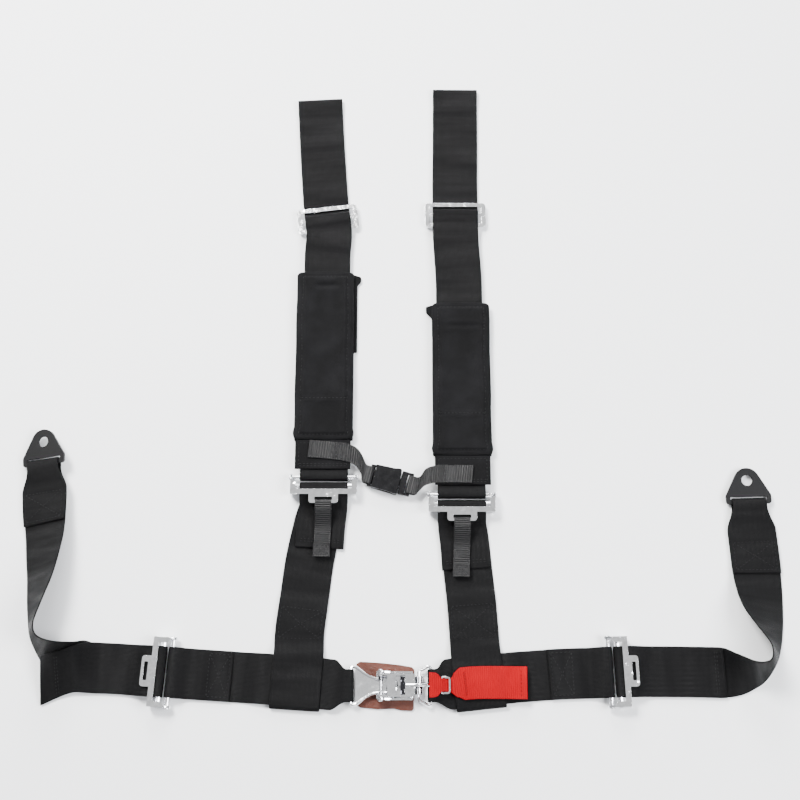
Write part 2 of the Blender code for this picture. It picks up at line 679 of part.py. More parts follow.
# --------------------------------------------------------------- adjusters
def frame_mesh():
    """Stamped frame about its pin: top plate with a slotted tab, two ears."""
    front = -(BAR_TO_PIN + 9.5)
    back = -(BAR_TO_PIN + 4.0)
    out = EAR_INSIDE + EAR_THICK
    flange = EAR_INSIDE - 3.7
    tab = front - 9.6
    top_low = TAB_Z - 1.0
    top_high = TAB_Z + 1.0
    outline = [(front, out - 0.2)]
    outline += [(front, 15.5)] + arc(tab + 3, 12.5, 3.0, 90, 180, 3)
    outline += arc(tab + 3, -12.5, 3.0, 180, 270, 3) + [(front, -15.5)]
    outline += [(front, 0.2 - out), (-2.5, 0.2 - out), (-2.5, 1.5 - out)]
    outline += [(-5.0, -flange), (back, -flange), (back, flange), (-5.0, flange)]
    outline += [(-2.5, out - 1.5), (-2.5, out - 0.2)]
    slot = rounded_box(tab + 2.8, -9.3, tab + 6.6, 9.3, 0.9, 2)
    solids = [plate(outline, [slot], top_low, top_high)]
    ear = [(front + 0.2, top_high - 0.2), (front + 0.2, -3.5)]
    ear += arc(front + 3.7, -3.5, 3.5, 180, 270, 4)[1:]
    ear += [(-5.5, -7.0)] + arc(0, 0, 4.3, -105, 62, 7) + [(-2.6, top_high - 0.2)]
    slot_r = TRUNNION_R + 0.35
    near = BAR_TO_PIN - slot_r
    far = BAR_TO_PIN + slot_r
    end = 180 + TILT_RANGE + 1.0
    cx = BAR_TO_PIN * math.cos(math.radians(end))
    cz = BAR_TO_PIN * math.sin(math.radians(end))
    arc_slot = arc(0, 0, far, 180, end, 4)
    arc_slot += arc(cx, cz, slot_r, end, end + 180, 5)[1:-1]
    arc_slot += arc(0, 0, near, end, 180, 4)
    arc_slot += arc(-BAR_TO_PIN, 0, slot_r, 0, 180, 5)[1:-1]
    pin_hole = arc(0, 0, PIN_R + 0.35, 0, 337.5, 15)
    for low in (EAR_INSIDE, -out):
        solids.append(side_plate(ear, [arc_slot, pin_hole], low, low + EAR_THICK))
    return fused("adjuster_frame", solids)


def bar_mesh():
    """Knurled slide bar with plain trunnions at its ends."""
    teeth = 18
    profile = [(-34.7, TRUNNION_R), (-31.0, TRUNNION_R), (-31.0, BAR_R),
               (31.0, BAR_R), (31.0, TRUNNION_R), (34.7, TRUNNION_R)]
    verts, faces = turned(profile, teeth)
    knurled = []
    for i, v in enumerate(verts):
        ring = i // teeth
        deep = ring in (2, 3) and i % 2
        scale = (BAR_R - 0.3) / BAR_R if deep else 1.0
        knurled.append((v[0] * scale, v[1], v[2] * scale))
    return mesh_from("knurled_bar", knurled, faces)


def pin_mesh():
    out = EAR_INSIDE + EAR_THICK
    profile = [(-out - 1.3, 2.6), (-out - 1.1, 3.4), (-out - 0.4, 3.4), (-out - 0.4, PIN_R),
               (out + 0.4, PIN_R), (out + 0.4, 3.4), (out + 1.1, 3.4), (out + 1.3, 2.6)]
    return mesh_from("adjuster_pin", *turned(profile, 14))


def adjusters(mats):
    """Four adjusters: frame and pin about the pin, knurled bar at rest."""
    frame = frame_mesh()
    bar = bar_mesh()
    pin = pin_mesh()
    smooth_round(pin)
    places = [
        ("shoulder_left", (STRAP_X["left"], ADJUSTER_Y["left"]), 90.0),
        ("shoulder_right", (STRAP_X["right"], ADJUSTER_Y["right"]), 90.0),
        ("lap_left", (LAP_BAR_X["left"], -289.6), math.degrees(math.atan(LAP_LEAN["left"]))),
        ("lap_right", (LAP_BAR_X["right"], -289.3),
         180.0 + math.degrees(math.atan(LAP_LEAN["right"]))),
    ]
    for name, (x, y), heading in places:
        turn = Matrix.Rotation(math.radians(heading), 3, "Z")
        bar_at = Vector((x, y, AXIS_Z))
        pin_at = bar_at + turn @ Vector((BAR_TO_PIN, 0, 0))
        add_object(f"{name}_adjuster_frame", frame, mats["chrome"], pin_at, turn)
        add_object(f"{name}_adjuster_pin", pin, mats["zinc"], pin_at, turn)
        add_object(f"{name}_knurled_bar", bar, mats["zinc"], bar_at, turn)


def slides(mats):
    inner, outer = SLIDE_WINDOW
    half = SLIDE_LENGTH / 2
    outline = rounded_box(-half, -SLIDE_HALF, half, SLIDE_HALF, 4.0, 3)
    windows = [rounded_box(5 - half, inner, half - 5, outer, 1.5, 3),
               rounded_box(5 - half, -outer, half - 5, -inner, 1.5, 3)]
    solid = plate(outline, windows, -SLIDE_THICK / 2, SLIDE_THICK / 2)
    for side in ("left", "right"):
        x, y, lean = SLIDE_AT[side]
        turn = Matrix.Rotation(math.atan(-lean), 3, "Z")
        mesh = mesh_from("three_bar_slide", *solid)
        add_object(f"shoulder_{side}_slide", mesh, mats["zinc"], (x, y, SLIDE_Z), turn)


# ------------------------------------------------------------ shoulder pads
def swept_y(section, levels):
    """Solid along Y: section points (x, z) placed by (y, scale, lift) levels."""
    verts = []
    faces = []
    n = len(section)
    for y, x_scale, z_scale in levels:
        verts.extend((x * x_scale, y, z * z_scale) for x, z in section)
    for i in range(len(levels) - 1):
        for k in range(n):
            m = (k + 1) % n
            faces.append((i * n + m, i * n + k, (i + 1) * n + k, (i + 1) * n + m))
    last = (len(levels) - 1) * n
    triangles = geometry.tessellate_polygon([[Vector((x, z, 0)) for x, z in section]])
    for tri in triangles:
        a, b, c = (Vector(section[i]) for i in tri)
        if (b - a).cross(c - a) < 0:
            tri = (tri[0], tri[2], tri[1])
        faces.append(tuple(tri))
        faces.append((last + tri[0], last + tri[2], last + tri[1]))
    return verts, faces


def crown(half, low, side_z, top_z, steps=9):
    """Open arch from (half, low) over the top to (-half, low)."""
    points = [(half, low)]
    for i in range(steps + 1):
        a = math.pi * i / steps
        x = half * math.copysign(abs(math.cos(a)) ** 0.55, math.cos(a))
        points.append((x, side_z + (top_z - side_z) * math.sin(a) ** 0.7))
    points.append((-half, low))
    return points


PAD_BACK_Z = (0.35, 3.6)
COVER_LOW = 4.0
FOAM_Z = (8.1, 11.6)
FLAP_REACH = 31.8
FLAP_Z = (9.2, 10.8)


def shoulder_pad(side, mats):
    """Back panel, foam core, front cover and the flap under the tape."""
    y0, y1 = PAD_SPAN[side]
    x = PAD_X[side]
    shift = Vector((x, 0, 0)) - LAYOUT_CENTRE
    half = PAD_HALF
    mirror = 1.0 if side == "left" else -1.0
    origin = Vector((x, (y0 + y1) / 2, 0))
    outline = [(mirror * -half, y0 + 1), (mirror * half, y0 + 1)]
    if side == "left":
        outline += [(half, 53.0), (half + 3.6, 53.0), (half + 3.6, 131.0),
                    (half + 7.5, 135.0), (half + 7.5, 141.0), (half - 2.0, y1 - 1)]
    else:
        outline += [(-half, 92.0), (-half - 6.5, 99.0), (-half - 6.5, y1 - 3),
                    (-half + 1.0, y1 - 1)]
    outline += [(mirror * (6 - half), y1 - 1), (mirror * -half, y1 - 8)]
    if mirror < 0:
        outline = outline[::-1]
    placed = [(a, b - origin.y) for a, b in outline]
    back = mesh_from("pad_back", *plate(placed, [], *PAD_BACK_Z))
    add_object(f"pad_{side}_back_panel", back, mats["pad"], origin)

    reach = (y1 - y0) / 2
    foam_section = [(half - 3.2, FOAM_Z[0])] + crown(half - 3.2, FOAM_Z[0] + 0.6,
                                                     9.2, FOAM_Z[1])[1:-1]
    foam_section += [(3.2 - half, FOAM_Z[0])]
    foam = swept_y(foam_section, [(3 - reach, 1, 1), (reach - 3, 1, 1)])
    add_object(f"pad_{side}_foam_core", mesh_from("pad_foam", *foam), mats["foam"], origin)

    outer = crown(half, COVER_LOW, 9.4, 13.6)
    inner = crown(half - 2.2, COVER_LOW, 9.6, 12.1)
    cover = swept_y(outer + inner[::-1], [(-reach, 0.97, 1), (-reach + 6, 1, 1),
                                          (reach - 6, 1, 1), (reach, 0.97, 1)])
    mesh = mesh_from("pad_cover", *cover)
    smooth_round(mesh)
    add_object(f"pad_{side}_cover", mesh, mats["pad"], origin)

    start = y0 - 0.4
    end = y0 - FLAP_REACH
    guide = guide_in_y([(end, x), (start, x)])
    route = [(start - (start - end) * i / 4, FLAP_Z[0] + (FLAP_Z[1] - FLAP_Z[0]) * i / 4)
             for i in range(5)]
    verts, faces = ribbon(stations(guide, route, 2 * half - 4), 1.6)
    verts = [v - origin for v in verts]
    add_object(f"pad_{side}_flap", mesh_from("pad_flap", verts, faces), mats["pad"], origin)


# ---------------------------------------------------------- sternum strap
BUCKLE_AT = Vector((-10.0, -90.5, 7.6))
BUCKLE_TURN = -14.0
STERNUM_WIDTH = 19.0
TAPE_BARS = {"left": -22.1, "right": 21.6}
STERNUM = {
    "left": [(-97.0, -57.0), (-74.0, -59.0), (-56.0, -61.5), (-46.5, -66.0),
             (-40.5, -74.5)],
    "right": [(77.0, -84.8), (52.0, -84.6), (38.0, -84.8), (27.0, -88.0)],
}
TAPE_ON_PAD = {"left": 12.4, "right": 12.7}


def buckle_frame():
    return Matrix.Rotation(math.radians(BUCKLE_TURN), 3, "Z")


def sternum_tape(side, mats):
    """Ribbed tape from the pad's flap, looped round the buckle's bar."""
    turn = buckle_frame()
    bar = BUCKLE_AT + turn @ Vector((TAPE_BARS[side], 0, 0))
    out = turn @ Vector((-1.0 if side == "left" else 1.0, 0, 0))
    points = [Vector((x, y, 0)) for x, y in STERNUM[side]]
    across = [Vector((0.1, 1.0, 0)) for _ in points]
    for reach in (6.0, 3.5, -1.0):
        points.append(Vector((bar.x, bar.y, 0)) + out * reach)
        across.append(turn @ Vector((0, 1, 0)))
    knots = []
    t = 0.0
    for i, point in enumerate(points):
        if i > 0:
            t += (point - points[i - 1]).length
        knots.append((t, point, across[i]))
    bar_t = t - 1.0
    wrap = 3.1
    high = TAPE_ON_PAD[side]
    start = bar_t - 30.0
    route = run(0.0, start, high, 8.0)
    route += ramp(start + 3, high, bar_t - 1, BUCKLE_AT.z + wrap, 10)
    route += arc(bar_t, BUCKLE_AT.z, wrap, 90, -90, 10)
    route += ramp(bar_t - 1, BUCKLE_AT.z - wrap, bar_t - 10, BUCKLE_AT.z - wrap + 2.2, 4)
    sections = stations(Guide(knots, sheared=True), route, STERNUM_WIDTH)
    return strap(f"sternum_{side}_tape", sections, mats["tape"])


def box(x0, y0, z0, x1, y1, z1, r=0.8):
    return plate(rounded_box(x0, y0, x1, y1, r, 2), [], z0, z1)


def sternum_buckle(mats):
    turn = buckle_frame()
    outline = [(-18.0, -12.4), (2.0, -13.0), (6.0, -13.8)]
    outline += arc(8.0, -12.3, 1.5, -90, 0, 3) + arc(8.0, 12.3, 1.5, 0, 90, 3)
    outline += [(6.0, 13.8), (2.0, 13.0), (-18.0, 12.4)]
    solids = [plate(outline, [], 2.7, 4.3), plate(outline, [], -4.3, -2.7),
              box(-17.8, -12.3, -3.2, -11.5, 12.3, 3.2),
              box(4.6, -13.4, -3.2, 9.3, -10.9, 3.2), box(4.6, 10.9, -3.2, 9.3, 13.4, 3.2),
              box(-23.4, -12.0, -1.4, -20.8, 12.0, 1.4),
              box(-23.2, 9.9, -1.5, -14.0, 12.1, 1.5), box(-23.2, -12.1, -1.5, -14.0, -9.9, 1.5)]
    add_object("sternum_buckle_housing", fused("housing", solids), mats["plastic"],
               BUCKLE_AT, turn)
    solids = [box(10.4, -12.6, -2.2, 17.0, 12.6, 2.2), box(20.3, -12.6, -1.4, 22.9, 12.6, 1.4),
              box(14.0, 9.9, -1.5, 22.7, 12.5, 1.5), box(14.0, -12.5, -1.5, 22.7, -9.9, 1.5),
              box(-6.0, -3.0, -1.6, 12.0, 3.0, 1.6)]
    add_object("sternum_buckle_plug", fused("plug", solids), mats["plastic"], BUCKLE_AT, turn)
    for name, flip in (("upper", 1.0), ("lower", -1.0)):
        prong = [(-0.5, -1.2), (-0.5, 1.2), (-6.4, 1.6), (-6.8, 3.7), (-13.6, 4.6),
                 (-15.2, 3.0), (-15.2, 0.6), (-12.0, -1.0)]
        prong = [(a, b * flip) for a, b in prong]
        if flip < 0:
            prong = prong[::-1]
        solid = plate(prong, [], -1.7, 1.7)
        hinge = BUCKLE_AT + turn @ Vector((10.0, 7.4 * flip, 0))
        add_object(f"sternum_buckle_{name}_prong", mesh_from("prong", *solid),
                   mats["plastic"], hinge, turn)


# ------------------------------------------------------------------ anchors
def anchor_mesh():
    """Bolt-in plate about its swivel bar: hole, slot, rounded corners."""
    low = -ANCHOR_BAR_HALF
    outline = arc(ANCHOR_HOLE_AT, 0, ANCHOR_APEX_R, -58, 58, 9)
    outline += arc(6.5, ANCHOR_HALF - 3.0, 3.0, 58, 90, 3)
    outline += arc(low + 3.0, ANCHOR_HALF - 3.0, 3.0, 90, 180, 4)
    outline += arc(low + 3.0, 3.0 - ANCHOR_HALF, 3.0, 180, 270, 4)
    outline += arc(6.5, 3.0 - ANCHOR_HALF, 3.0, 270, 302, 3)
    hole = arc(ANCHOR_HOLE_AT, 0, ANCHOR_HOLE_R, 0, 348, 29)
    slot = rounded_box(ANCHOR_BAR_HALF, -19.6, ANCHOR_BAR_HALF + ANCHOR_SLOT, 19.6, 1.5, 3)
    solid = plate(outline, [hole, slot], -ANCHOR_THICK / 2, ANCHOR_THICK / 2)
    return mesh_from("anchor_plate", *solid)


def anchors(mats):
    for side in ("left", "right"):
        add_object(f"{side}_anchor_plate", anchor_mesh(), mats["anchor"],
                   ANCHOR_BAR[side], anchor_turn(side))


# -------------------------------------------------------------------- latch
LINK_HALF = 19.4
NECK_HALF = 7.0
EYE_X = -10.4
LINK_WIRE_R = 1.7


def link_side(sign):
    """Half of the link's edge, from the webbing bar to the neck."""
    return [(-48.2, sign * (LINK_HALF - 0.2)), (-44.0, sign * 17.9), (-37.0, sign * 12.6),
            (-31.0, sign * 9.2), (-26.0, sign * 7.5), (-21.0, sign * NECK_HALF),
            (-15.0, sign * NECK_HALF)]


def link_plate(mats):
    eye = arc(EYE_X, 0, NECK_HALF, 90, -90, 9)
    edge = ([(LINK_BAR_X, LINK_HALF - 1.8)] + link_side(1) + eye
            + link_side(-1)[::-1] + [(LINK_BAR_X, 1.8 - LINK_HALF)])
    edge += [(LINK_BAR_X, y) for y in (-9.0, 0.0, 9.0)]
    wire = tube([(a, b, 0) for a, b in edge], LINK_WIRE_R, 8, closed=True)
    web = [(-45.2, 17.2)] + link_side(1)[2:] + eye + link_side(-1)[2:][::-1] + [(-45.2, -17.2)]
    hole = rounded_box(EYE_X - 4.8, -4.8, EYE_X + 4.8, 4.8, 1.5, 3)
    mesh = fused("link", [wire, plate(web[::-1], [hole], -1.0, 1.0)])
    smooth_round(mesh)
    add_object("link_plate", mesh, mats["zinc"], (0, LATCH_Y, LINK_Z))


def latch_base(mats):
    pivot_x, pivot_z = PIVOT.x, PIVOT.z
    wall = [(-24.0, 2.7), (13.0, 2.7), (13.0, 8.0), (-9.0, 8.6)]
    wall += arc(pivot_x, pivot_z, 4.0, -10, 190, 10) + [(-24.0, 9.0)]
    bore = arc(pivot_x, pivot_z, 1.75, 0, 324, 9)
    bottom = rounded_box(-24.0, -14.3, 13.2, 14.3, 1.0, 3)
    rivet_holes = [arc(5.6, y, 1.4, 0, 330, 11) for y in (-5.0, 5.0)]
    curl = arc(19.0, RING_Z, 3.8, -90, 160, 10) + arc(19.0, RING_Z, 2.0, 160, -90, 10)
    curl += [(11.0, RING_Z - 2.0), (11.0, RING_Z - 3.8)]
    solids = [plate(bottom, rivet_holes, 2.6, 4.4), side_plate(wall, [bore], 12.5, 14.2),
              side_plate(wall, [bore], -14.2, -12.5), side_plate(curl, [], -9.0, 9.0)]
    add_object("latch_base", fused("base", solids), mats["chrome"], (0, LATCH_Y, 0))
    pin = [(-16.0, 1.6), (-15.6, 2.2), (-14.7, 2.2), (-14.7, 1.3),
           (14.7, 1.3), (14.7, 2.2), (15.6, 2.2), (16.0, 1.6)]
    mesh = mesh_from("latch_pivot_pin", *turned(pin, 12))
    smooth_round(mesh)
    add_object("latch_pivot_pin", mesh, mats["zinc"], PIVOT)


def latch_lever(mats):
    """Cover plate, side arms, hook, handle rod and tip loop about the pivot."""
    dx, dz = PIVOT.x, PIVOT.z
    cover = rounded_box(-13.0 - dx, -11.5, 14.0 - dx, 11.5, 1.2, 3)
    window = rounded_box(-4.2 - dx, -10.0, 5.2 - dx, 10.0, 0.8, 3)
    arm = arc(0, 0, 3.6, 75, 285, 8) + [(6.0, -3.8), (31.0, -3.2), (32.5, 1.4), (32.5, 2.4),
                                        (6.6, 2.4)]
    bore = arc(0, 0, 1.75, 0, 324, 9)
    hook = arc(0, 0, 14.4, -34, 8, 8) + arc(0, 0, 12.0, 8, -34, 8)
    rod = [(6.0 - dx, 0, 3.6), (14.0 - dx, 0, 4.0), (24.0 - dx, 0, 3.4),
           (34.0 - dx, 0, 1.4), (42.0 - dx, 0, -0.6)]
    tip = rounded_box(42.0 - dx, -7.8, 50.0 - dx, 7.8, 2.0, 2)
    solids = [plate(cover, [window], 1.2, 3.0), side_plate(arm, [bore], 9.7, 11.4),
              side_plate(arm, [bore], -11.4, -9.7), side_plate(hook, [], -2.4, 2.4),
              tube(rod, 1.7, 10), tube([(a, b, -0.2) for a, b in tip], 1.3, 8, closed=True)]
    add_object("latch_lever", fused("lever", solids), mats["chrome"], PIVOT)


def latch_small_parts(mats):
    tongue = [(-9.0, 4.8), (9.0, 4.8), (9.0, 11.0), (5.5, 13.4), (1.6, 15.4),
              (-1.6, 15.4), (-5.5, 13.4), (-9.0, 11.0)]
    upright = plate(tongue, [], 0.4, 1.6, lambda a, b, c: (c, a, b))
    holes = [arc(5.6, y, 1.4, 0, 324, 9) for y in (-5.0, 5.0)]
    foot = plate(rounded_box(0.6, -8.8, 9.0, 8.8, 0.6, 2), holes, 4.75, 5.9)
    add_object("latch_catch", fused("catch", [upright, foot]), mats["spring"],
               (0, LATCH_Y, 0))
    rings = [(2.7, 1.0), (6.3, 1.0), (6.3, 2.1), (6.9, 1.9), (7.3, 1.1)]
    shank, faces = turned(rings, 12)
    shank = [(v[0], v[2], v[1]) for v in shank]
    faces = [tuple(reversed(face)) for face in faces]
    for end, y in (("upper", 5.0), ("lower", -5.0)):
        add_object(f"latch_rivet_{end}", mesh_from("rivet", shank, faces), mats["zinc"],
                   (5.6, LATCH_Y + y, 0))
    coil = []
    turns = 3
    per_turn = 10
    for i in range(turns * per_turn + 1):
        a = math.radians(90 - 360 * i / per_turn)
        coil.append((2.25 * math.cos(a), 5.0 + 1.15 * i / per_turn, 2.25 * math.sin(a)))
    coil = [(-5.2, 5.0, 1.4), (-2.6, 5.0, 2.1)] + coil
    coil += [(3.4, 8.45, 1.2), (6.6, 8.45, 0.1), (9.6, 8.45, -0.4)]
    mesh = mesh_from("latch_spring", *tube(coil, 0.5, 5))
    smooth_round(mesh)
    add_object("latch_spring", mesh, mats["spring"], PIVOT)


def belt_ring(mats):
    half = [(19.0, 12.6), (19.6, 14.2), (21.4, 15.4), (24.2, 16.8), (27.0, 18.6),
            (29.2, 19.4), (30.6, 18.6), (RING_X, 16.8)]
    loop = [(19.0, -6.0), (19.0, 6.0)] + half + [(RING_X, 6.0), (RING_X, -6.0)]
    loop += [(x, -y) for x, y in half[::-1]]
    mesh = mesh_from("belt_ring", *tube([(x, y, 0) for x, y in loop], 1.6, 8, closed=True))
    smooth_round(mesh)
    add_object("belt_ring", mesh, mats["zinc"], (0, LATCH_Y, RING_Z))


def red_pull(mats):
    """Release pull threaded through the lever's tip loop and folded back."""
    guide = guide_in_x([(29.0, -303.0), (41.0, -303.0), (52.0, -303.0), (66.0, -301.0),
                        (90.0, -300.0), (130.0, -300.4)])
    widths = [(29.0, 25.0), (36.0, 24.0), (43.0, 12.4), (50.5, 12.4), (57.0, 25.0),
              (63.0, 32.5), (140.0, 32.5)]

    def width(t):
        for (t0, w0), (t1, w1) in zip(widths, widths[1:]):
            if t <= t1:
                u = min(1.0, max(0.0, (t - t0) / (t1 - t0)))
                return w0 + (w1 - w0) * (3 * u ** 2 - 2 * u ** 3)
        return widths[-1][1]

    top = WRAP_Z[3] + WEB / 2 + GAP + WEB / 2 + PITCH
    route = [(29.4, 19.4), (32.0, 19.1), (34.0, 18.7), (36.0, 18.1), (38.0, 17.4),
             (40.0, 16.7), (42.0, 15.9), (46.0, 13.0), (50.0, 10.1), (53.0, 9.9),
             (56.0, 10.2), (58.0, top), (60.0, top), (63.0, top)]
    route += run(66.0, 127.5, top)
    route += arc(127.5, top - PITCH / 2, PITCH / 2, 90, -90, 8)
    route += run(124.0, 64.0, top - PITCH)
    strap("latch_release_pull", stations(guide, route, width), mats["red"])


def leather_pad(mats):
    top = [(-44.5, 22.0), (-41.0, 24.4), (-20.0, 23.2), (0.0, 21.0), (12.0, 19.0),
           (14.5, 16.5)]
    low = [(14.0, -22.8), (12.0, -24.8), (2.0, -24.4), (-6.0, -22.6), (-14.0, -22.8),
           (-22.0, -23.2), (-32.0, -22.2), (-40.0, -21.4), (-45.0, -18.0)]
    mesh = mesh_from("leather_pad", *plate((top + low)[::-1], [], 0.2, 2.2))
    add_object("leather_backing_pad", mesh, mats["leather"], (0, LATCH_Y, 0))


def main():
    clear_scene()
    mats = make_materials()
    for side in ("left", "right"):
        upper_strap(side, mats)
        lower_strap(side, mats)
        pull_tape(side, mats)
        lap_inner_strap(side, mats)
        lap_outer_strap(side, mats)
        shoulder_pad(side, mats)
        sternum_tape(side, mats)
    adjusters(mats)
    slides(mats)
    sternum_buckle(mats)
    anchors(mats)
    link_plate(mats)
    latch_base(mats)
    latch_lever(mats)
    latch_small_parts(mats)
    belt_ring(mats)
    red_pull(mats)
    leather_pad(mats)


main()
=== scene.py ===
"""Racing harness: webbing, pads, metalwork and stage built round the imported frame.

Lengths in this file are millimetres in the layout's own coordinates, and
world() turns them into the frame's metres.
"""

import json
import math

import bmesh
import bpy
import numpy as np
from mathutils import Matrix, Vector

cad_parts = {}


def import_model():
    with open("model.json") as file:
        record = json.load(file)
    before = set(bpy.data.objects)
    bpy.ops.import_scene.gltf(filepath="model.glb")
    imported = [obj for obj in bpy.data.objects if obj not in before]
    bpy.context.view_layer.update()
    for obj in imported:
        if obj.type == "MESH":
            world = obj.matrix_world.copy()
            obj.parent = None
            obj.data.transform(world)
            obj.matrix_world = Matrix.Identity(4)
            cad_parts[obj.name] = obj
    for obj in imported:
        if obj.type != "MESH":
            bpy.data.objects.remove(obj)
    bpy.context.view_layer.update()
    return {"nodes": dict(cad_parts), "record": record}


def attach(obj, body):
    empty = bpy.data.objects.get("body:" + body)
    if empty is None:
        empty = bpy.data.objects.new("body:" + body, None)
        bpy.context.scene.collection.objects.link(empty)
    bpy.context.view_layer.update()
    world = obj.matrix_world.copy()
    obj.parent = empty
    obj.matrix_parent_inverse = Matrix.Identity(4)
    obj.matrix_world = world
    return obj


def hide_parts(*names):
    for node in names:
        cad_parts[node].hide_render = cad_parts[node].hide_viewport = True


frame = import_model()

bl_info = {
    "name": "Racing harness",
    "version": (1, 0, 0),
    "blender": (4, 5, 0),
    "location": "3D View > Sidebar > Harness",
    "description": "Dresses a four-point racing harness over its mechanical frame",
    "category": "Add Mesh",
}

MM = 0.001
LAYOUT_CENTRE = np.array((-2.2, 21.6, 0.15))
SIDES = ("left", "right")
FIXED = "webbing_and_fixed_fittings"

WEB_WIDTH = 50.8
WEB = 1.5
GAP = 0.4
PITCH = WEB + GAP
HALF_WEB = WEB_WIDTH / 2
SPACING = 1.6            # along the webbing, from one row of points to the next
RUN_STEP = 4
SAME_POINT = 0.02        # points closer together than this are one
STITCH_SINK = 0.02       # how far a stitch's line lies under the surface

AXIS_Z = 7.3
BAR_R, PIN_R = 3, 2.5
BAR_TO_PIN = 9.6
WRAP = BAR_R + 0.3 + WEB / 2
PIN_WRAP = PIN_R + 0.3 + WEB / 2
SLIDE_THICK = 2.5
SLIDE_Z = 5.4
ANCHOR_WRAP = 3 + WEB / 2
NECK_WIDTH = 36
ADJUSTER_Y = {"left": -97, "right": -116}
STRAP_X = {"left": -80.5, "right": 65}
SLIDE_AT = {"left": (-81, 209, -0.122), "right": (62, 214, 0)}
PAD_SPAN = {"left": (-47, 145), "right": (-64, 109)}
PAD_X = {"left": -82, "right": 66.5}
PAD_HALF = 31.5
TAIL_END = {"left": 53, "right": 20}
FOLD_Y = {"left": 360, "right": 373}
FOLD_X = {"left": -93, "right": 63.5}
SINGLE_Z = 1.2
LAYER_ONE = 4.95
LAYER_TWO = LAYER_ONE + PITCH
WRAP_Z = (0.9, 2.8, 4.7, 6.6)


# ------------------------------------------------------------------ settings
def length_field(name, description, default, low, high):
    """Length in metres for a property group."""
    return bpy.props.FloatProperty(name=name, description=description, default=default,
                                   min=low, max=high, unit="LENGTH", precision=5)


def colour_field(name, description, default):
    """Base colour for a property group."""
    return bpy.props.FloatVectorProperty(name=name, description=description,
                                         default=default, subtype="COLOR", min=0, max=1)


class HarnessSizes(bpy.types.PropertyGroup):
    """Sizes of the finish that can be changed without touching the frame."""

    stitch_length: length_field("Stitch length", "Length of one stitch",
                                0.0026, 0.001, 0.006)
    thread_radius: length_field("Thread radius", "Half the sewing thread's thickness",
                                0.00032, 0.0001, 0.001)
    pad_swell: length_field("Pad swell", "Furthest that a pad's surface may move",
                            0.0022, 0, 0.01)
    floor_size: length_field("Floor size", "Side of the pale floor", 60, 2, 1000)
    pad_pressure: bpy.props.FloatProperty(
        name="Pad pressure", description="Pressure that swells the pads in simulation",
        default=4, min=0, max=20)


class HarnessColours(bpy.types.PropertyGroup):
    """Base colours of the cloth, metal and leather."""

    webbing: colour_field("Webbing", "Main webbing", (0.0024, 0.0024, 0.0027))
    tape: colour_field("Ribbed tape", "Pull tapes and sternum strap",
                       (0.0042, 0.0042, 0.0046))
    pad: colour_field("Pad cloth", "Shoulder pads", (0.0026, 0.0026, 0.0030))
    chrome: colour_field("Chrome", "Adjusters and latch", (0.92, 0.93, 0.95))
    zinc: colour_field("Zinc", "Slides, link and pins", (0.84, 0.85, 0.87))
    red: colour_field("Release pull", "Red release pull", (0.24, 0.0003, 0.0035))
    leather: colour_field("Leather", "Backing pad under the latch", (0.105, 0.023, 0.010))


# ------------------------------------------------------------ mesh foundation
def world(points):
    """Layout millimetres to the frame's metres."""
    return (np.asarray(points, dtype=float) - LAYOUT_CENTRE) * MM


def add_object(name, data):
    """New object at the origin, linked to the scene."""
    obj = bpy.data.objects.new(name, data)
    bpy.context.scene.collection.objects.link(obj)
    return obj


def build_mesh(name, points, faces, uv=None, smooth=True):
    """Object at the origin from world points and index rows."""
    mesh = bpy.data.meshes.new(name)
    mesh.from_pydata(np.asarray(points).reshape(-1, 3).tolist(), [], faces)
    if uv is not None:
        layer = mesh.uv_layers.new(name="strap")
        loop_vertex = np.empty(len(mesh.loops), dtype=np.int32)
        mesh.loops.foreach_get("vertex_index", loop_vertex)
        layer.data.foreach_set("uv", np.asarray(uv).reshape(-1, 2)[loop_vertex].ravel())
    mesh.polygons.foreach_set("use_smooth", [smooth] * len(mesh.polygons))
    return add_object(name, mesh)


def ring_faces(rows, columns):
    """Quads between neighbouring closed rings of points, numbered row by row."""
    i = np.arange(rows - 1)[:, None] * columns
    k = np.arange(columns)[None, :]
    m = (k + 1) % columns
    quads = np.stack((i + k, i + columns + k, i + columns + m, i + m), -1)
    return quads.reshape(-1, 4).tolist()


def end_caps(rows, columns):
    """The two end faces that close a run of rings."""
    ring = list(range(columns))
    return [ring, [(rows - 1) * columns + k for k in reversed(ring)]]


def tube(name, points, uv=None):
    """Closed piece from rings of layout points, capped at both ends."""
    rows, columns, _ = points.shape
    faces = ring_faces(rows, columns) + end_caps(rows, columns)
    return build_mesh(name, world(points), faces, uv)


def finish_piece(obj, body, look, *nodes, slot=None):
    """Material, body and the frame nodes that a piece stands for; the slot argument is not used."""
    obj.data.materials.clear()
    obj.data.materials.append(MATERIALS[look])
    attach(obj, body)
    if nodes:
        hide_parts(*nodes)


# -------------------------------------------------------------- strap guides
def hermite(t, at, values):
    """Curve through values: cubic spans with mean slopes, level where they turn."""
    at = np.asarray(at, dtype=float)
    values = np.asarray(values, dtype=float)
    span = np.diff(at)[:, None]
    step = np.diff(values, axis=0) / span
    inner = np.where(step[:-1] * step[1:] > 1e-9, (step[:-1] + step[1:]) / 2, 0)
    slope = np.vstack((step[:1], inner, step[-1:]))
    i = np.clip(np.searchsorted(at, t) - 1, 0, len(at) - 2)
    u = ((t - at[i]) / span[i, 0])[:, None]
    c = np.clip(u, 0, 1)
    m0 = slope[i] * span[i]
    m1 = slope[i + 1] * span[i]
    curve = ((2 * c ** 3 - 3 * c ** 2 + 1) * values[i] + (c ** 3 - 2 * c ** 2 + c) * m0
             + (3 * c ** 2 - 2 * c ** 3) * values[i + 1] + (c ** 3 - c ** 2) * m1)
    return curve + np.where(u < 0, m0, m1) * (u - c)


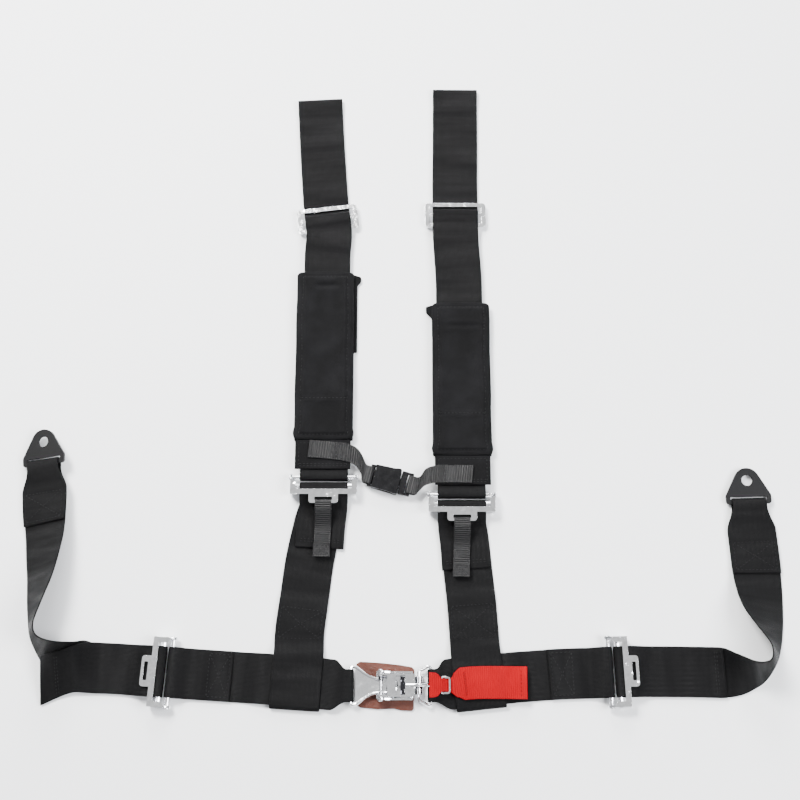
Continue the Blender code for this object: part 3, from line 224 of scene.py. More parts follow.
def unit(vectors):
    """Vectors scaled to length one."""
    return vectors / np.linalg.norm(vectors, axis=-1, keepdims=True)


def lengths(points):
    """Distance run along a polyline at each of its points."""
    step = np.linalg.norm(np.diff(points, axis=0), axis=1)
    return np.concatenate(([0], np.cumsum(step)))


def sample(at, s, values):
    """Rows of values, known at lengths s, read off at other lengths."""
    return np.stack([np.interp(at, s, column) for column in values.T], 1)


class Guide:
    """A flat strip's centre line and crosswise direction against distance t."""

    def __init__(self, t, centre, across, sheared=False):
        self.t = t
        self.centre = centre
        self.across = unit(np.asarray(across, dtype=float))
        self.sheared = sheared

    def at(self, t, h):
        """Centres and crosswise directions at t, raised h along the normals."""
        centre = hermite(t, self.t, self.centre)
        across = unit(hermite(t, self.t, self.across))
        ahead = hermite(t + 0.5, self.t, self.centre) - hermite(t - 0.5, self.t, self.centre)
        if not self.sheared:
            ahead_unit = unit(ahead)
            across = unit(across - ahead_unit * np.sum(across * ahead_unit, 1, keepdims=True))
        normal = unit(np.cross(across, ahead))
        normal = normal * np.where(normal[:, 2:] < 0, -1, 1)
        return centre + normal * h[:, None], across


def guide_in_y(points):
    """Guide up the layout through (y, x) points; t is y."""
    y, x = np.array(points, dtype=float).T
    slope = np.gradient(x, y)
    slope[1:-1] = (x[2:] - x[:-2]) / (y[2:] - y[:-2])
    zero = np.zeros_like(x)
    return Guide(y, np.stack((x, y, zero), 1), np.stack((zero + 1, -slope, zero), 1))


def guide_in_x(points):
    """Guide along the lap belt through (x, y) points; t is x."""
    guide = guide_in_y(points)
    guide.centre, guide.across = guide.centre[:, [1, 0, 2]], guide.across[:, [1, 0, 2]]
    return guide


def ramp(t0, h0, t1, h1, steps=14):
    """Half a cosine wave from one height to another."""
    u = np.linspace(0, 1, steps + 1)
    return np.stack((t0 + (t1 - t0) * u, h0 + (h1 - h0) * (1 - np.cos(np.pi * u)) / 2), 1)


def run(t0, t1, h):
    """Level stretch at one height, about RUN_STEP between points."""
    count = max(2, round(abs(t1 - t0) / RUN_STEP) + 1)
    return np.stack((np.linspace(t0, t1, count), np.full(count, float(h))), 1)


def arc(t, h, r, start, end, steps=24):
    """Points on a circle about (t, h), from start to end degrees."""
    a = np.radians(np.linspace(start, end, steps + 1))
    return np.stack((t + r * np.cos(a), h + r * np.sin(a)), 1)


# ------------------------------------------------------------------ ribbons
class Path:
    """A strip's centre line, crosswise and normal directions at even spacing."""

    def __init__(self, centre, across, width, t, h, spacing=SPACING, soften=2):
        raw = np.column_stack((centre, across, width, t, h))
        step = np.linalg.norm(np.diff(centre, axis=0), axis=1)
        raw = raw[np.concatenate(([True], step > SAME_POINT))]
        length = lengths(raw[:, :3])
        count = max(8, int(round(length[-1] / spacing)) + 1)
        self.s = np.linspace(0, length[-1], count)
        even = sample(self.s, length, raw)
        self.centre = even[:, :3].copy()
        self.across = unit(even[:, 3:6])
        self.width, self.t, self.h = even[:, 6:].T
        for _ in range(soften):
            self.centre[1:-1] = (self.centre[:-2] + 2 * self.centre[1:-1]
                                 + self.centre[2:]) / 4
        ahead = unit(np.gradient(self.centre, axis=0))
        self.normal = unit(np.cross(self.across, ahead))

    def row(self, t, h=None):
        """Length at which the strip passes t, nearest height h or on its top layer."""
        offset = self.t - t
        rows = np.nonzero(offset[:-1] * offset[1:] <= 0)[0]
        height = self.centre[rows, 2]
        best = np.argmax(height) if h is None else np.argmin(abs(self.h[rows] - h))
        return self.s[rows[best]]

    def surface(self, s, x, lift):
        """Points and upward normals at lengths s and offsets x, lifted up."""
        centre, across, normal = (sample(s, self.s, a)
                                  for a in (self.centre, self.across, self.normal))
        normal = normal * np.where(normal[:, 2:] < 0, -1, 1)
        return centre + across * x[:, None] + normal * lift, normal


def follow(guide, parts, width=WEB_WIDTH, **kwargs):
    """Path along a guide for joined (t, h) routes."""
    route = np.vstack(parts)
    centre, across = guide.at(route[:, 0], route[:, 1])
    wide = width(route[:, 0]) if callable(width) else np.full(len(route), float(width))
    return Path(centre, across, wide, route[:, 0], route[:, 1], **kwargs)


def joined(first, *others):
    """Several follow() routes' raw columns made one path."""
    return Path(*(np.concatenate([getattr(p, name) for p in (first, *others)])
                  for name in ("centre", "across", "width", "t", "h")))


def strip_profile(columns):
    """Cross-section of webbing: flat faces with round selvedges, once round.

    Each point is (share of the half width, sideways offset in thicknesses,
    height in thicknesses).
    """
    flat = np.linspace(1, -1, columns)
    edge = np.radians(np.array((60, 30, 0, -30, -60)))
    top = np.stack((flat, np.zeros(columns), np.full(columns, 0.5)), 1)
    left = np.stack((np.full(5, -1), -0.5 * np.cos(edge), 0.5 * np.sin(edge)), 1)
    bottom = np.stack((-flat, np.zeros(columns), np.full(columns, -0.5)), 1)
    right = np.stack((np.full(5, 1), 0.5 * np.cos(edge), -0.5 * np.sin(edge)), 1)
    return np.concatenate((top, left, bottom, right))


def ribbon(name, path, thick=WEB, columns=15, wave=0.1, ribs=None, rib_height=0.16):
    """Woven strip swept along a path.

    A point is centre + across * x + normal * z.  x runs over the width and z
    is half the thickness, plus a slow ripple sin(s / 23 + 3 x) sin(s / 9.1)
    that keeps within the air between layers.  Ribs add rib_height times a
    rounded square wave along the length.
    """
    profile = strip_profile(columns)
    half = path.width[:, None] / 2 - thick / 2
    x = profile[:, 0] * half + profile[:, 1] * thick
    z = np.broadcast_to(profile[:, 2] * thick, x.shape).copy()
    s = path.s[:, None]
    share = x / half
    z += wave * np.sin(s / 23 + 2.4 * share) * np.sin(s / 9.1 + 0.7) * (1 - 0.35 * share ** 2)
    if ribs:
        rib = np.tanh(2.2 * np.sin(2 * np.pi * s / ribs)) / 2 - 0.4
        z += np.sign(profile[:, 2]) * rib_height * rib * (abs(profile[:, 2]) > 0.45)
    points = (path.centre[:, None] + path.across[:, None] * x[..., None]
              + path.normal[:, None] * z[..., None])
    return tube(name, points, np.stack((x * MM, np.broadcast_to(s * MM, x.shape)), -1))


# ----------------------------------------------------------- strap geometry
def near_adjuster(side):
    y = ADJUSTER_Y[side]
    return [(y + step, STRAP_X[side]) for step in (-16, -10, 6)]


def upper_path(side):
    """Adjuster pin, pad, slide, fold at the top and the tail back in the pad."""
    x = STRAP_X[side]
    slide_x, slide, lean = SLIDE_AT[side]
    pad_top = PAD_SPAN[side][1] + 18
    top_x = slide_x + lean * 26
    end_x = FOLD_X[side]
    guide = guide_in_y([
        (ADJUSTER_Y[side] - 20, x), (0, x), (pad_top - 40, x), (pad_top, x),
        (slide - 17, slide_x - lean * 17), (slide, slide_x),
        (slide + 17, slide_x + lean * 17), (slide + 36, top_x + lean * 4),
        (300, (top_x + end_x) / 2), (378, end_x)])
    pin = ADJUSTER_Y[side] + BAR_TO_PIN
    tail = TAIL_END[side]
    fold = FOLD_Y[side]
    under = SLIDE_Z - SLIDE_THICK / 2 - 0.35 - WEB / 2
    over = SLIDE_Z + SLIDE_THICK / 2 + 0.35 + WEB / 2
    low = under - PITCH
    return follow(guide, [
        [(pin + 42, LAYER_ONE)],
        ramp(pin + 18, LAYER_ONE, pin + 2, AXIS_Z - PIN_WRAP),
        arc(pin, AXIS_Z, PIN_WRAP, -90, -270),
        ramp(pin + 1, AXIS_Z + PIN_WRAP, pin + 15, LAYER_TWO),
        run(pin + 18, pin + 50, LAYER_TWO),
        ramp(pin + 50, LAYER_TWO, tail - 28, LAYER_ONE),
        run(tail - 20, slide - 44, LAYER_ONE),
        ramp(slide - 44, LAYER_ONE, slide - 20, under),
        [(slide - 9.6, under)], ramp(slide - 9, under, slide - 2.9, over, 5),
        [(slide + 2.3, over)], ramp(slide + 2.9, over, slide + 8.5, low, 5),
        run(slide + 15, fold - 3, low),
        arc(fold - 3, low + 2.1, 2.1, -90, 90),
        ramp(fold - 4, low + 4.2, fold - 32, under),
        run(fold - 40, slide + 15, under),
        [(slide + 9.3, under)], ramp(slide + 8.8, under, slide + 3.6, over + PITCH, 5),
        [(slide - 3.2, over + PITCH)], ramp(slide - 4, over + PITCH, slide - 9.6, over, 5),
        ramp(slide - 15.5, over, slide - 40, LAYER_TWO),
        run(slide - 46, tail, LAYER_TWO)])


LOWER_X = {
    "left": [(-250, -103.2), (-216, -99.2), (-174, -94), (-135, -86)],
    "right": [(-250, 76), (-222, 74.2), (-190, 71.2), (-150, 67.4)],
}
WRAP_X = {"left": [(-332, -107.4), (-298, -105.2), (-272, -103.5)],
          "right": [(-332, 83.4), (-298, 80), (-272, 77.4)]}
TAIL_X = {"left": [(-170, -84.8), (-140, -83)],
          "right": [(-190, 69.6), (-160, 67.6)]}
SHOULDER_TAIL_Y = {"left": -162, "right": -184}
LAP_EDGE_Y = {"left": (-272.8, -323.7), "right": (-271.9, -323.3)}
LOOP_END_Y = {"left": -222, "right": -218}


def lower_path(side):
    """Free tail, knurled bar, and down to the loop round the lap belt."""
    bar = ADJUSTER_Y[side]
    top, bottom = LAP_EDGE_Y[side]
    loop_end = LOOP_END_Y[side]
    tail_z = SINGLE_Z + PITCH
    tail = follow(guide_in_y(TAIL_X[side] + near_adjuster(side)), [
        run(SHOULDER_TAIL_Y[side], bar - 34, tail_z),
        ramp(bar - 28, tail_z, bar - 5, AXIS_Z + WRAP)], soften=0)
    turn = (WRAP_Z[3] - WRAP_Z[0]) / 2
    main = follow(guide_in_y(WRAP_X[side] + LOWER_X[side] + near_adjuster(side)), [
        arc(bar, AXIS_Z, WRAP, 90, -90),
        ramp(bar - 2, AXIS_Z - WRAP, bar - 16, SINGLE_Z),
        run(bar - 24, loop_end + 18, SINGLE_Z),
        ramp(loop_end + 14, SINGLE_Z, loop_end + 3, WRAP_Z[1]),
        run(loop_end - 6, top + 16, WRAP_Z[1]),
        ramp(top + 14, WRAP_Z[1], top + 2, WRAP_Z[3]),
        run(top - 2, bottom, WRAP_Z[3]),
        arc(bottom - 0.5, WRAP_Z[0] + turn, turn, 90, 270),
        run(bottom + 2, loop_end, WRAP_Z[0])], soften=0)
    return joined(tail, main)


LAP_BAR_X = {"left": -243, "right": 222.5}
LAP_INNER = {
    "left": [(-262, -287.8), (-243, -289.05), (-223, -290.37), (-180, -293.2),
             (-130, -296.5), (-90, -299.6), (-60, -302.8), (-54, -303),
             (-44, -303)],
    "right": [(26, -303), (36, -303), (42, -302.7), (56, -300.7),
              (79, -298.3), (104, -295.8), (130, -293.4), (164, -291.1),
              (200, -289.98), (222.5, -289.3), (245, -288.62)],
}
SHORT_END_X = {"left": (-122, -171.5), "right": (116, 152)}
BUCKLE_BAR = {"left": (-50, 6.8, 1.7), "right": (31, 6.4, 1.6)}
BUCKLE_WIDTH = 32.6


def taper(reach, start, length, narrow):
    """Width that grows smoothly from narrow to the full webbing."""
    u = np.clip((reach - start) / length, 0, 1)
    return narrow + (WEB_WIDTH - narrow) * (3 * u ** 2 - 2 * u ** 3)


def lap_inner_path(side):
    """Buckle bar to adjuster pin, doubled back and sewn at both ends."""
    away = -1 if side == "left" else 1
    bar_x, bar_z, bar_r = BUCKLE_BAR[side]
    turn = bar_r + 0.35 + WEB / 2
    pin = LAP_BAR_X[side] - away * BAR_TO_PIN
    short_buckle, short_pin = SHORT_END_X[side]
    clear = bar_x + (-28 if side == "left" else 21)
    far = -140 if side == "left" else 116
    buckle_turn = (-90, 90) if side == "left" else (270, 90)
    pin_turn = (-90, -270) if side == "left" else (-90, 90)
    return follow(guide_in_x(LAP_INNER[side]), [
        run(short_buckle, clear, WRAP_Z[1]),
        ramp(clear, WRAP_Z[1], bar_x + away * 4, bar_z - turn),
        arc(bar_x, bar_z, turn, *buckle_turn),
        ramp(bar_x + away * 3, bar_z + turn, clear, WRAP_Z[2]),
        run(clear + away * 6, far, WRAP_Z[2]),
        ramp(far, WRAP_Z[2], far + away * 20, SINGLE_Z),
        run(far + away * 26, pin - away * 18, SINGLE_Z),
        ramp(pin - away * 16, SINGLE_Z, pin - away * 1, AXIS_Z - PIN_WRAP),
        arc(pin, AXIS_Z, PIN_WRAP, *pin_turn),
        ramp(pin - away * 1, AXIS_Z + PIN_WRAP, pin - away * 22, SINGLE_Z + PITCH),
        run(pin - away * 28, short_pin, SINGLE_Z + PITCH),
    ], lambda t: taper(abs(t - bar_x), 5, 14, BUCKLE_WIDTH))


# outer edge on the floor (x, y) and the roll that lifts the inner edge
CORNER = {
    "left": [(-325, -309, 0), (-345, -301, 12), (-358, -289.5, 36),
             (-368.5, -276, 60), (-376.5, -262, 72), (-382, -246, 70),
             (-385, -225, 60), (-387.5, -195, 45), (-391.5, -160, 29),
             (-396.5, -125, 18), (-399, -100, 15)],
    "right": [(312, -314.7, 0), (331, -314.5, 14), (349, -311.5, 36),
              (366, -303, 58), (379, -290, 72), (388.5, -272, 65),
              (393, -252, 47), (395.5, -228, 25), (396.5, -200, 8),
              (396, -170, 0), (394.3, -140, 0)],
}
LAP_OUTER_FLAT = {"left": [(-223, -290.37), (-243, -289.05), (-262, -287.8),
                           (-300, -285.3)],
                  "right": [(200, -289.98), (222.5, -289.3), (245, -288.62),
                            (285, -288.8)]}
LAP_LEAN = {"left": -0.066, "right": 0.03}
ANCHOR_BAR = {"left": (-377, -72.2, 10.2), "right": (367.8, -113.1, 4.8)}
ANCHOR_ROLL = {"left": 15, "right": 0}
ANCHOR_HEADING = {"left": 94.8, "right": 91.6}
OUTER_LOOP_END = {"left": 66, "right": 77}
LEFT_TAIL = [(-300, -285.3, 3.1, 0), (-306, -285, 3.6, 0.03),
             (-312, -284.9, 5.6, 0.08), (-318, -285.2, 8.8, 0.2),
             (-324, -286, 13.6, 0.38), (-330, -287.3, 17, 0.52),
             (-336, -289.1, 16.8, 0.56), (-342, -291.1, 16, 0.56),
             (-348, -293.1, 14.4, 0.52), (-354, -295.1, 12.9, 0.46),
             (-360, -297, 10.9, 0.37), (-364, -298.2, 9, 0.3)]
RIGHT_TAIL_X = 333
LOOP_H = PITCH + 0.35


def anchor_axes(side):
    """The anchor plate's own X, Y and Z directions, from its heading and roll."""
    a = math.radians(ANCHOR_HEADING[side])
    r = math.radians(-ANCHOR_ROLL[side])
    along = np.array((math.cos(a), math.sin(a), 0))
    bar = np.array((-math.sin(a) * math.cos(r), math.cos(a) * math.cos(r), math.sin(r)))
    return along, bar, np.cross(along, bar)


def corner_guide(side):
    """Strip that turns the corner on its outer edge; t grows outwards."""
    sign = -1 if side == "left" else 1
    t = [sign * x for x, _ in LAP_OUTER_FLAT[side]]
    centre = [(x, y, SINGLE_Z) for x, y in LAP_OUTER_FLAT[side]]
    across = [(-LAP_LEAN[side], 1, 0)] * len(t)
    edge = np.array(CORNER[side], dtype=float)
    ahead = np.vstack((edge[1] - edge[0], edge[2:] - edge[:-2], edge[-1] - edge[-2]))
    ahead[:, 2] = 0
    ahead = unit(ahead)
    lift = np.radians(edge[:, 2])[:, None]
    inward = np.stack((-ahead[:, 1], ahead[:, 0], np.zeros(len(edge))), 1) * sign
    rolled = inward * np.cos(lift) + np.array((0, 0, 1)) * np.sin(lift)
    t += list(sign * edge[0, 0] + lengths(edge[:, :2]))
    floor_edge = np.column_stack((edge[:, :2], np.full(len(edge), SINGLE_Z)))
    centre += list(floor_edge + rolled * HALF_WEB)
    across += list(rolled)
    along, bar_axis, normal = anchor_axes(side)
    middle = np.array(ANCHOR_BAR[side]) - normal * (PITCH / 2)
    bar_t = t[-1] + np.linalg.norm(middle - centre[-1])
    for reach in (-12, -6, 6):
        t.append(bar_t + reach)
        centre.append(middle + along * reach)
        across.append(sign * bar_axis)
    return Guide(np.array(t), np.array(centre), np.array(across), sheared=True), bar_t


def lap_outer_path(side):
    """Anchor loop, corner on edge, adjuster and free tail."""
    sign = -1 if side == "left" else 1
    guide, bar_t = corner_guide(side)
    bar = sign * LAP_BAR_X[side]
    loop_end = bar_t - OUTER_LOOP_END[side]
    flat_end = sign * LAP_OUTER_FLAT[side][-1][0]
    rise = AXIS_Z - SINGLE_Z
    main = follow(guide, [
        run(loop_end, bar_t - 26, LOOP_H),
        ramp(bar_t - 22, LOOP_H, bar_t - 2, PITCH / 2 + ANCHOR_WRAP),
        arc(bar_t, PITCH / 2, ANCHOR_WRAP, 90, -90),
        ramp(bar_t - 2, PITCH / 2 - ANCHOR_WRAP, bar_t - 22, 0),
        run(bar_t - 28, flat_end, 0),
        run(flat_end - 8, bar + 18, 0),
        ramp(bar + 16, 0, bar + 2, rise - WRAP),
        arc(bar, rise, WRAP, 270, 90),
    ], lambda t: taper(bar_t - t, 6, 24, NECK_WIDTH), soften=0)
    drop = [[(bar + 9.5, rise + WRAP)], ramp(bar + 9.5, rise + WRAP, bar + 34, PITCH)]
    if side == "right":
        tail = follow(guide, drop + [run(bar + 40, 300, PITCH),
                                     run(304, RIGHT_TAIL_X, LOOP_H)], soften=0)
        path = joined(main, tail)
    else:
        tail = follow(guide, drop + [run(bar + 40, 297, PITCH)], soften=0)
        x, y, z, tilt = np.array(LEFT_TAIL).T
        lifted = Guide(-x, np.stack((x, y, z), 1),
                       np.stack((0 * x, np.cos(tilt), np.sin(tilt)), 1), sheared=True)
        end = follow(lifted, [run(301, 364, 0)], soften=0)
        path = joined(main, tail, end)
    low = path.centre[:, 2] - abs(path.across[:, 2]) * path.width / 2 - WEB / 2
    path.centre[:, 2] += np.maximum(0, 0.25 - low)
    return path


TAPE_WIDTH = 17.2
HEM_THICK = 0.9
TAPE = 1.2
TAPE_REST = SINGLE_Z + PITCH + WEB / 2 + GAP + TAPE / 2
TAPE_SPACING = 0.42      # close enough to carry the ribs
TAB_WRAP = 2.6
STERNUM_WRAP = 3.1
TAPE_END_Y = {"left": -171, "right": -192}
TAB_BAR = 17.7
TAB_Z = 6.2


def pull_path(side):
    """Ribbed tape looped through the adjuster's tab."""
    bar = ADJUSTER_Y[side]
    x = STRAP_X[side]
    end = TAPE_END_Y[side]
    hub = AXIS_Z + TAB_Z
    guide = guide_in_y([(end - 2, x - 1.5), (bar - 44, x - 0.4), (bar - 30, x),
                        (bar - 22, x), (bar - 10, x)])
    return follow(guide, [
        run(end + 1, bar - 44, TAPE_REST),
        ramp(bar - 40, TAPE_REST, bar - TAB_BAR, hub - TAB_WRAP),
        arc(bar - TAB_BAR, hub, TAB_WRAP, -90, 90),
        ramp(bar - TAB_BAR - 1, hub + TAB_WRAP, bar - 46, TAPE_REST + TAPE + GAP),
        run(bar - 52, end, TAPE_REST + TAPE + GAP)], TAPE_WIDTH, spacing=TAPE_SPACING)


BUCKLE_AT = np.array((-10, -90.5, 7.6))
BUCKLE_TURN = math.radians(-14)
TAPE_BARS = {"left": -22.1, "right": 21.6}
STERNUM_WIDTH = 19
STERNUM = {
    "left": [(-97, -57), (-74, -59), (-56, -61.5), (-46.5, -66),
             (-40.5, -74.5)],
    "right": [(77, -84.8), (52, -84.6), (38, -84.8), (27, -88)],
}
TAPE_ON_PAD = {"left": 12.4, "right": 12.7}


def buckle_point(x, y, z=0):
    """A point in the sternum buckle's own turned frame, in the layout."""
    c, s = math.cos(BUCKLE_TURN), math.sin(BUCKLE_TURN)
    return BUCKLE_AT + np.array((x * c - y * s, x * s + y * c, z))


def sternum_path(side):
    """Ribbed tape from the pad's flap to the buckle's bar and back under."""
    sign = -1 if side == "left" else 1
    square = buckle_point(0, 1) - BUCKLE_AT
    points = [(x, y, 0) for x, y in STERNUM[side]]
    across = [(0.1, 1, 0)] * len(points)
    for reach in (6, 3.5, -1):
        x, y, _ = buckle_point(TAPE_BARS[side] + sign * reach, 0)
        points.append((x, y, 0))
        across.append(square)
    points = np.array(points)
    t = lengths(points)
    bar_t = t[-1] - 1
    high = TAPE_ON_PAD[side]
    z = BUCKLE_AT[2]
    return follow(Guide(t, points, across, sheared=True), [
        run(0, bar_t - 30, high),
        ramp(bar_t - 27, high, bar_t - 1, z + STERNUM_WRAP),
        arc(bar_t, z, STERNUM_WRAP, 90, -90),
        ramp(bar_t - 1, z - STERNUM_WRAP, bar_t - 10, z - 0.9)],
        STERNUM_WIDTH, spacing=TAPE_SPACING)


PULL_WIDTHS = [(29, 25), (36, 24), (43, 12.4), (50.5, 12.4), (57, 25),
               (63, 32.5), (140, 32.5)]


def release_path():
    """Folded red webbing drawn through the lever's loop and spread flat."""
    guide = guide_in_x([(29, -303), (41, -303), (52, -303), (66, -301),
                        (90, -300), (130, -300.4)])
    at, wide = np.array(PULL_WIDTHS).T

    def width(t):
        i = np.clip(np.searchsorted(at, t) - 1, 0, len(at) - 2)
        u = np.clip((t - at[i]) / (at[i + 1] - at[i]), 0, 1)
        return wide[i] + (wide[i + 1] - wide[i]) * (3 * u ** 2 - 2 * u ** 3)

    top = WRAP_Z[3] + WEB + GAP + PITCH
    head = np.array([(29.4, 19.4), (32, 19.1), (34, 18.7), (36, 18.1), (38, 17.4),
                     (40, 16.7), (42, 15.9), (46, 13), (50, 10.1), (53, 9.9),
                     (56, 10.2), (58, top), (60, top), (63, top)])
    return follow(guide, [head, run(66, 127.5, top),
                          arc(127.5, top - PITCH / 2, PITCH / 2, 90, -90),
                          run(124, 64, top - PITCH)], width, spacing=TAPE_SPACING)


# ----------------------------------------------------------------- stitching
class Thread:
    """Gathers stitches on many lines and makes them one mesh."""

    def __init__(self):
        self.centre, self.ahead, self.normal = [], [], []

    def line(self, points, normals, gap=1.1):
        """Even stitches along a polyline of surface points, in millimetres."""
        length = bpy.context.scene.harness_sizes.stitch_length / MM
        s = lengths(points)
        count = max(1, int(s[-1] // (length + gap)))
        middle = (np.arange(count) + 0.5) * s[-1] / count
        self.centre.append(sample(middle, s, points))
        self.ahead.append(unit(sample(middle + 0.3, s, points)
                               - sample(middle - 0.3, s, points)))
        self.normal.append(unit(sample(middle, s, normals)))

    def on_path(self, path, corners, thick=WEB):
        """Stitches along straight lines between (s, x) corners of a strip."""
        for (s0, x0), (s1, x1) in zip(corners, corners[1:]):
            count = max(3, int(math.hypot(s1 - s0, x1 - x0)))
            self.line(*path.surface(np.linspace(s0, s1, count), np.linspace(x0, x1, count),
                                    thick / 2 - STITCH_SINK))

    def build(self, name):
        """Each stitch is a flattened lozenge of five six-sided rings.

        Their radii are 0.25, 0.85, 1, 0.85 and 0.25 of the thread's, and the
        end rings dip 0.9 of it into the cloth.
        """
        sizes = bpy.context.scene.harness_sizes
        half = sizes.stitch_length / MM / 2
        radius = sizes.thread_radius / MM
        centre, ahead, normal = map(np.vstack, (self.centre, self.ahead, self.normal))
        side = unit(np.cross(ahead, normal))
        normal = np.cross(side, ahead)
        around = np.radians(np.arange(6) * 60)
        along = np.array((-1, -0.72, 0, 0.72, 1)) * half
        fat = np.array((0.25, 0.85, 1, 0.85, 0.25))[:, None] * radius
        rise = np.array((-0.9, 0.05, 0.35, 0.05, -0.9))[:, None] * radius
        offset = (ahead[:, None, None] * along[:, None, None]
                  + side[:, None, None] * (fat * np.cos(around))[..., None] * 1.15
                  + normal[:, None, None] * (fat * np.sin(around) + rise)[..., None])
        base = (np.arange(len(centre)) * 30)[:, None, None]
        faces = []
        for one in (ring_faces(5, 6), end_caps(5, 6)):
            one = np.array(one)
            faces += (one[None] + base).reshape(-1, one.shape[1]).tolist()
        return build_mesh(name, world(centre[:, None, None] + offset), faces)


# ----------------------------------------------------------------- materials
class Net:
    """Lays nodes and links them in one tree."""

    def __init__(self, tree):
        self.tree = tree

    def node(self, kind, **values):
        made = self.tree.nodes.new(kind)
        for name, value in values.items():
            setattr(made, name, value)
        return made

    def put(self, value, socket):
        if isinstance(value, bpy.types.NodeSocket):
            self.tree.links.new(value, socket)
        else:
            socket.default_value = value

    def fill(self, made, *values):
        """First sockets of a node filled in order; gives its first output."""
        for value, socket in zip(values, made.inputs):
            self.put(value, socket)
        return made.outputs[0]

    def math(self, operation, a, b=0):
        return self.fill(self.node("ShaderNodeMath", operation=operation), a, b)

    def times(self, a, b):
        return self.math("MULTIPLY", a, b)

    def stretch(self, vector, factors):
        return self.fill(self.node("ShaderNodeVectorMath", operation="MULTIPLY"),
                         vector, factors)

    def noise(self, vector, scale, detail=3, roughness=0.55):
        made = self.node("ShaderNodeTexNoise")
        for name, value in (("Vector", vector), ("Scale", scale), ("Detail", detail),
                            ("Roughness", roughness)):
            self.put(value, made.inputs[name])
        return made.outputs["Fac"]

    def remap(self, value, low, high, to_low=0, to_high=1):
        return self.fill(self.node("ShaderNodeMapRange", clamp=True),
                         value, low, high, to_low, to_high)

    def mix(self, share, a, b):
        made = self.node("ShaderNodeMix", data_type="RGBA")
        for value, index in ((share, 0), (a, 6), (b, 7)):
            self.put(value, made.inputs[index])
        return made.outputs[2]

    def bump(self, height, distance, strength=1):
        made = self.node("ShaderNodeBump")
        for name, value in (("Strength", strength), ("Distance", distance),
                            ("Height", height)):
            self.put(value, made.inputs[name])
        return made.outputs["Normal"]

    def group(self, tree, **given):
        made = self.node("ShaderNodeGroup", node_tree=tree)
        for label, value in given.items():
            self.put(value, made.inputs[label.replace("_", " ")])
        return made.outputs


def node_group(name, inputs, outputs, lay):
    """Node group that lay(net, inputs, outputs) fills; a None input is a vector."""
    tree = bpy.data.node_groups.get(name)
    if tree:
        return tree
    tree = bpy.data.node_groups.new(name, "ShaderNodeTree")
    for label, value in inputs.items():
        kind = "NodeSocketVector" if value is None else "NodeSocketFloat"
        socket = tree.interface.new_socket(label, in_out="INPUT", socket_type=kind)
        if value is not None:
            socket.default_value = value
    for label in outputs:
        tree.interface.new_socket(label, in_out="OUTPUT", socket_type="NodeSocketFloat")
    net = Net(tree)
    lay(net, net.node("NodeGroupInput").outputs, net.node("NodeGroupOutput").inputs)
    return tree


def weave_group():
    """Webbing: ribs along the length crossed by a zigzag twill."""
    def lay(net, given, out):
        split = net.node("ShaderNodeSeparateXYZ")
        net.put(given["UV"], split.inputs[0])
        u = net.times(split.outputs["X"], 1 / MM)
        v = net.times(split.outputs["Y"], 1 / MM)
        rib = net.math("DIVIDE", u, given["Rib pitch"])
        ridge = net.math("ABSOLUTE", net.math("SINE", net.times(rib, math.pi)))
        zigzag = net.times(net.math("PINGPONG", rib, 2), given["Twill"])
        along = net.math("DIVIDE", v, given["Thread pitch"])
        phase = net.times(net.math("ADD", along, zigzag), 2 * math.pi)
        twill = net.remap(net.math("SINE", phase), -1, 1)
        height = net.times(ridge, net.remap(twill, 0, 1, 0.45, 1))
        net.put(height, out["Height"])
        # Thread is the height as a mask; the materials paint shade with it between the threads
        net.put(net.remap(height, 0.05, 0.75), out["Thread"])
    return node_group("harness_weave", {"UV": None, "Rib pitch": 1.3, "Thread pitch": 1.1,
                                        "Twill": 1}, ("Height", "Thread"), lay)


def creases_and_sheen_group():
    """Soft bands across the webbing where it has been folded and pulled, and broad patches for a
    painted sheen.
    """
    def lay(net, given, out):
        bands = net.noise(net.stretch(given["UV"], (9, 62, 1)), 1, 2)
        # painted sheen: this mask lightens broad patches of the webbing's colour
        sheen_noise = net.noise(net.stretch(given["UV"], (14, 14, 1)), 1, 3)
        net.put(net.remap(bands, 0.35, 0.68), out["Bands"])
        net.put(net.remap(sheen_noise, 0.3, 0.7), out["Sheen_patches"])
    return node_group("harness_creases_and_sheen", {"UV": None}, ("Bands", "Sheen_patches"), lay)


def grain_group():
    """Cells and pores for leather, cloth nap and moulded plastic."""
    def lay(net, given, out):
        cells = net.node("ShaderNodeTexVoronoi", feature="DISTANCE_TO_EDGE")
        net.put(given["Vector"], cells.inputs["Vector"])
        net.put(given["Scale"], cells.inputs["Scale"])
        fold = net.remap(cells.outputs["Distance"], 0, 0.25)
        pores = net.noise(given["Vector"], given["Scale"], 4)
        net.put(net.times(fold, net.remap(pores, 0.2, 0.8, 0.6, 1)), out["Height"])
        net.put(pores, out["Cloud"])
    return node_group("harness_grain", {"Vector": None, "Scale": 900},
                      ("Height", "Cloud"), lay)


def plating_group():
    """Plated sheet: slow dents from the press and fine handling marks."""
    def lay(net, given, out):
        place = given["Vector"]
        marks = net.noise(net.stretch(place, (1, 7, 1)), 900, 4, 0.7)
        net.put(net.noise(place, 70, 2), out["Dents"])
        net.put(net.remap(marks, 0.45, 0.75), out["Marks"])
        net.put(net.remap(net.noise(place, 190, 5), 0.35, 0.7), out["Smears"])
    return node_group("harness_plating", {"Vector": None}, ("Dents", "Marks", "Smears"), lay)


def shade(colour, share):
    """The colour made lighter or darker, as a socket's four numbers."""
    return (*[min(1, c * share) for c in colour], 1)


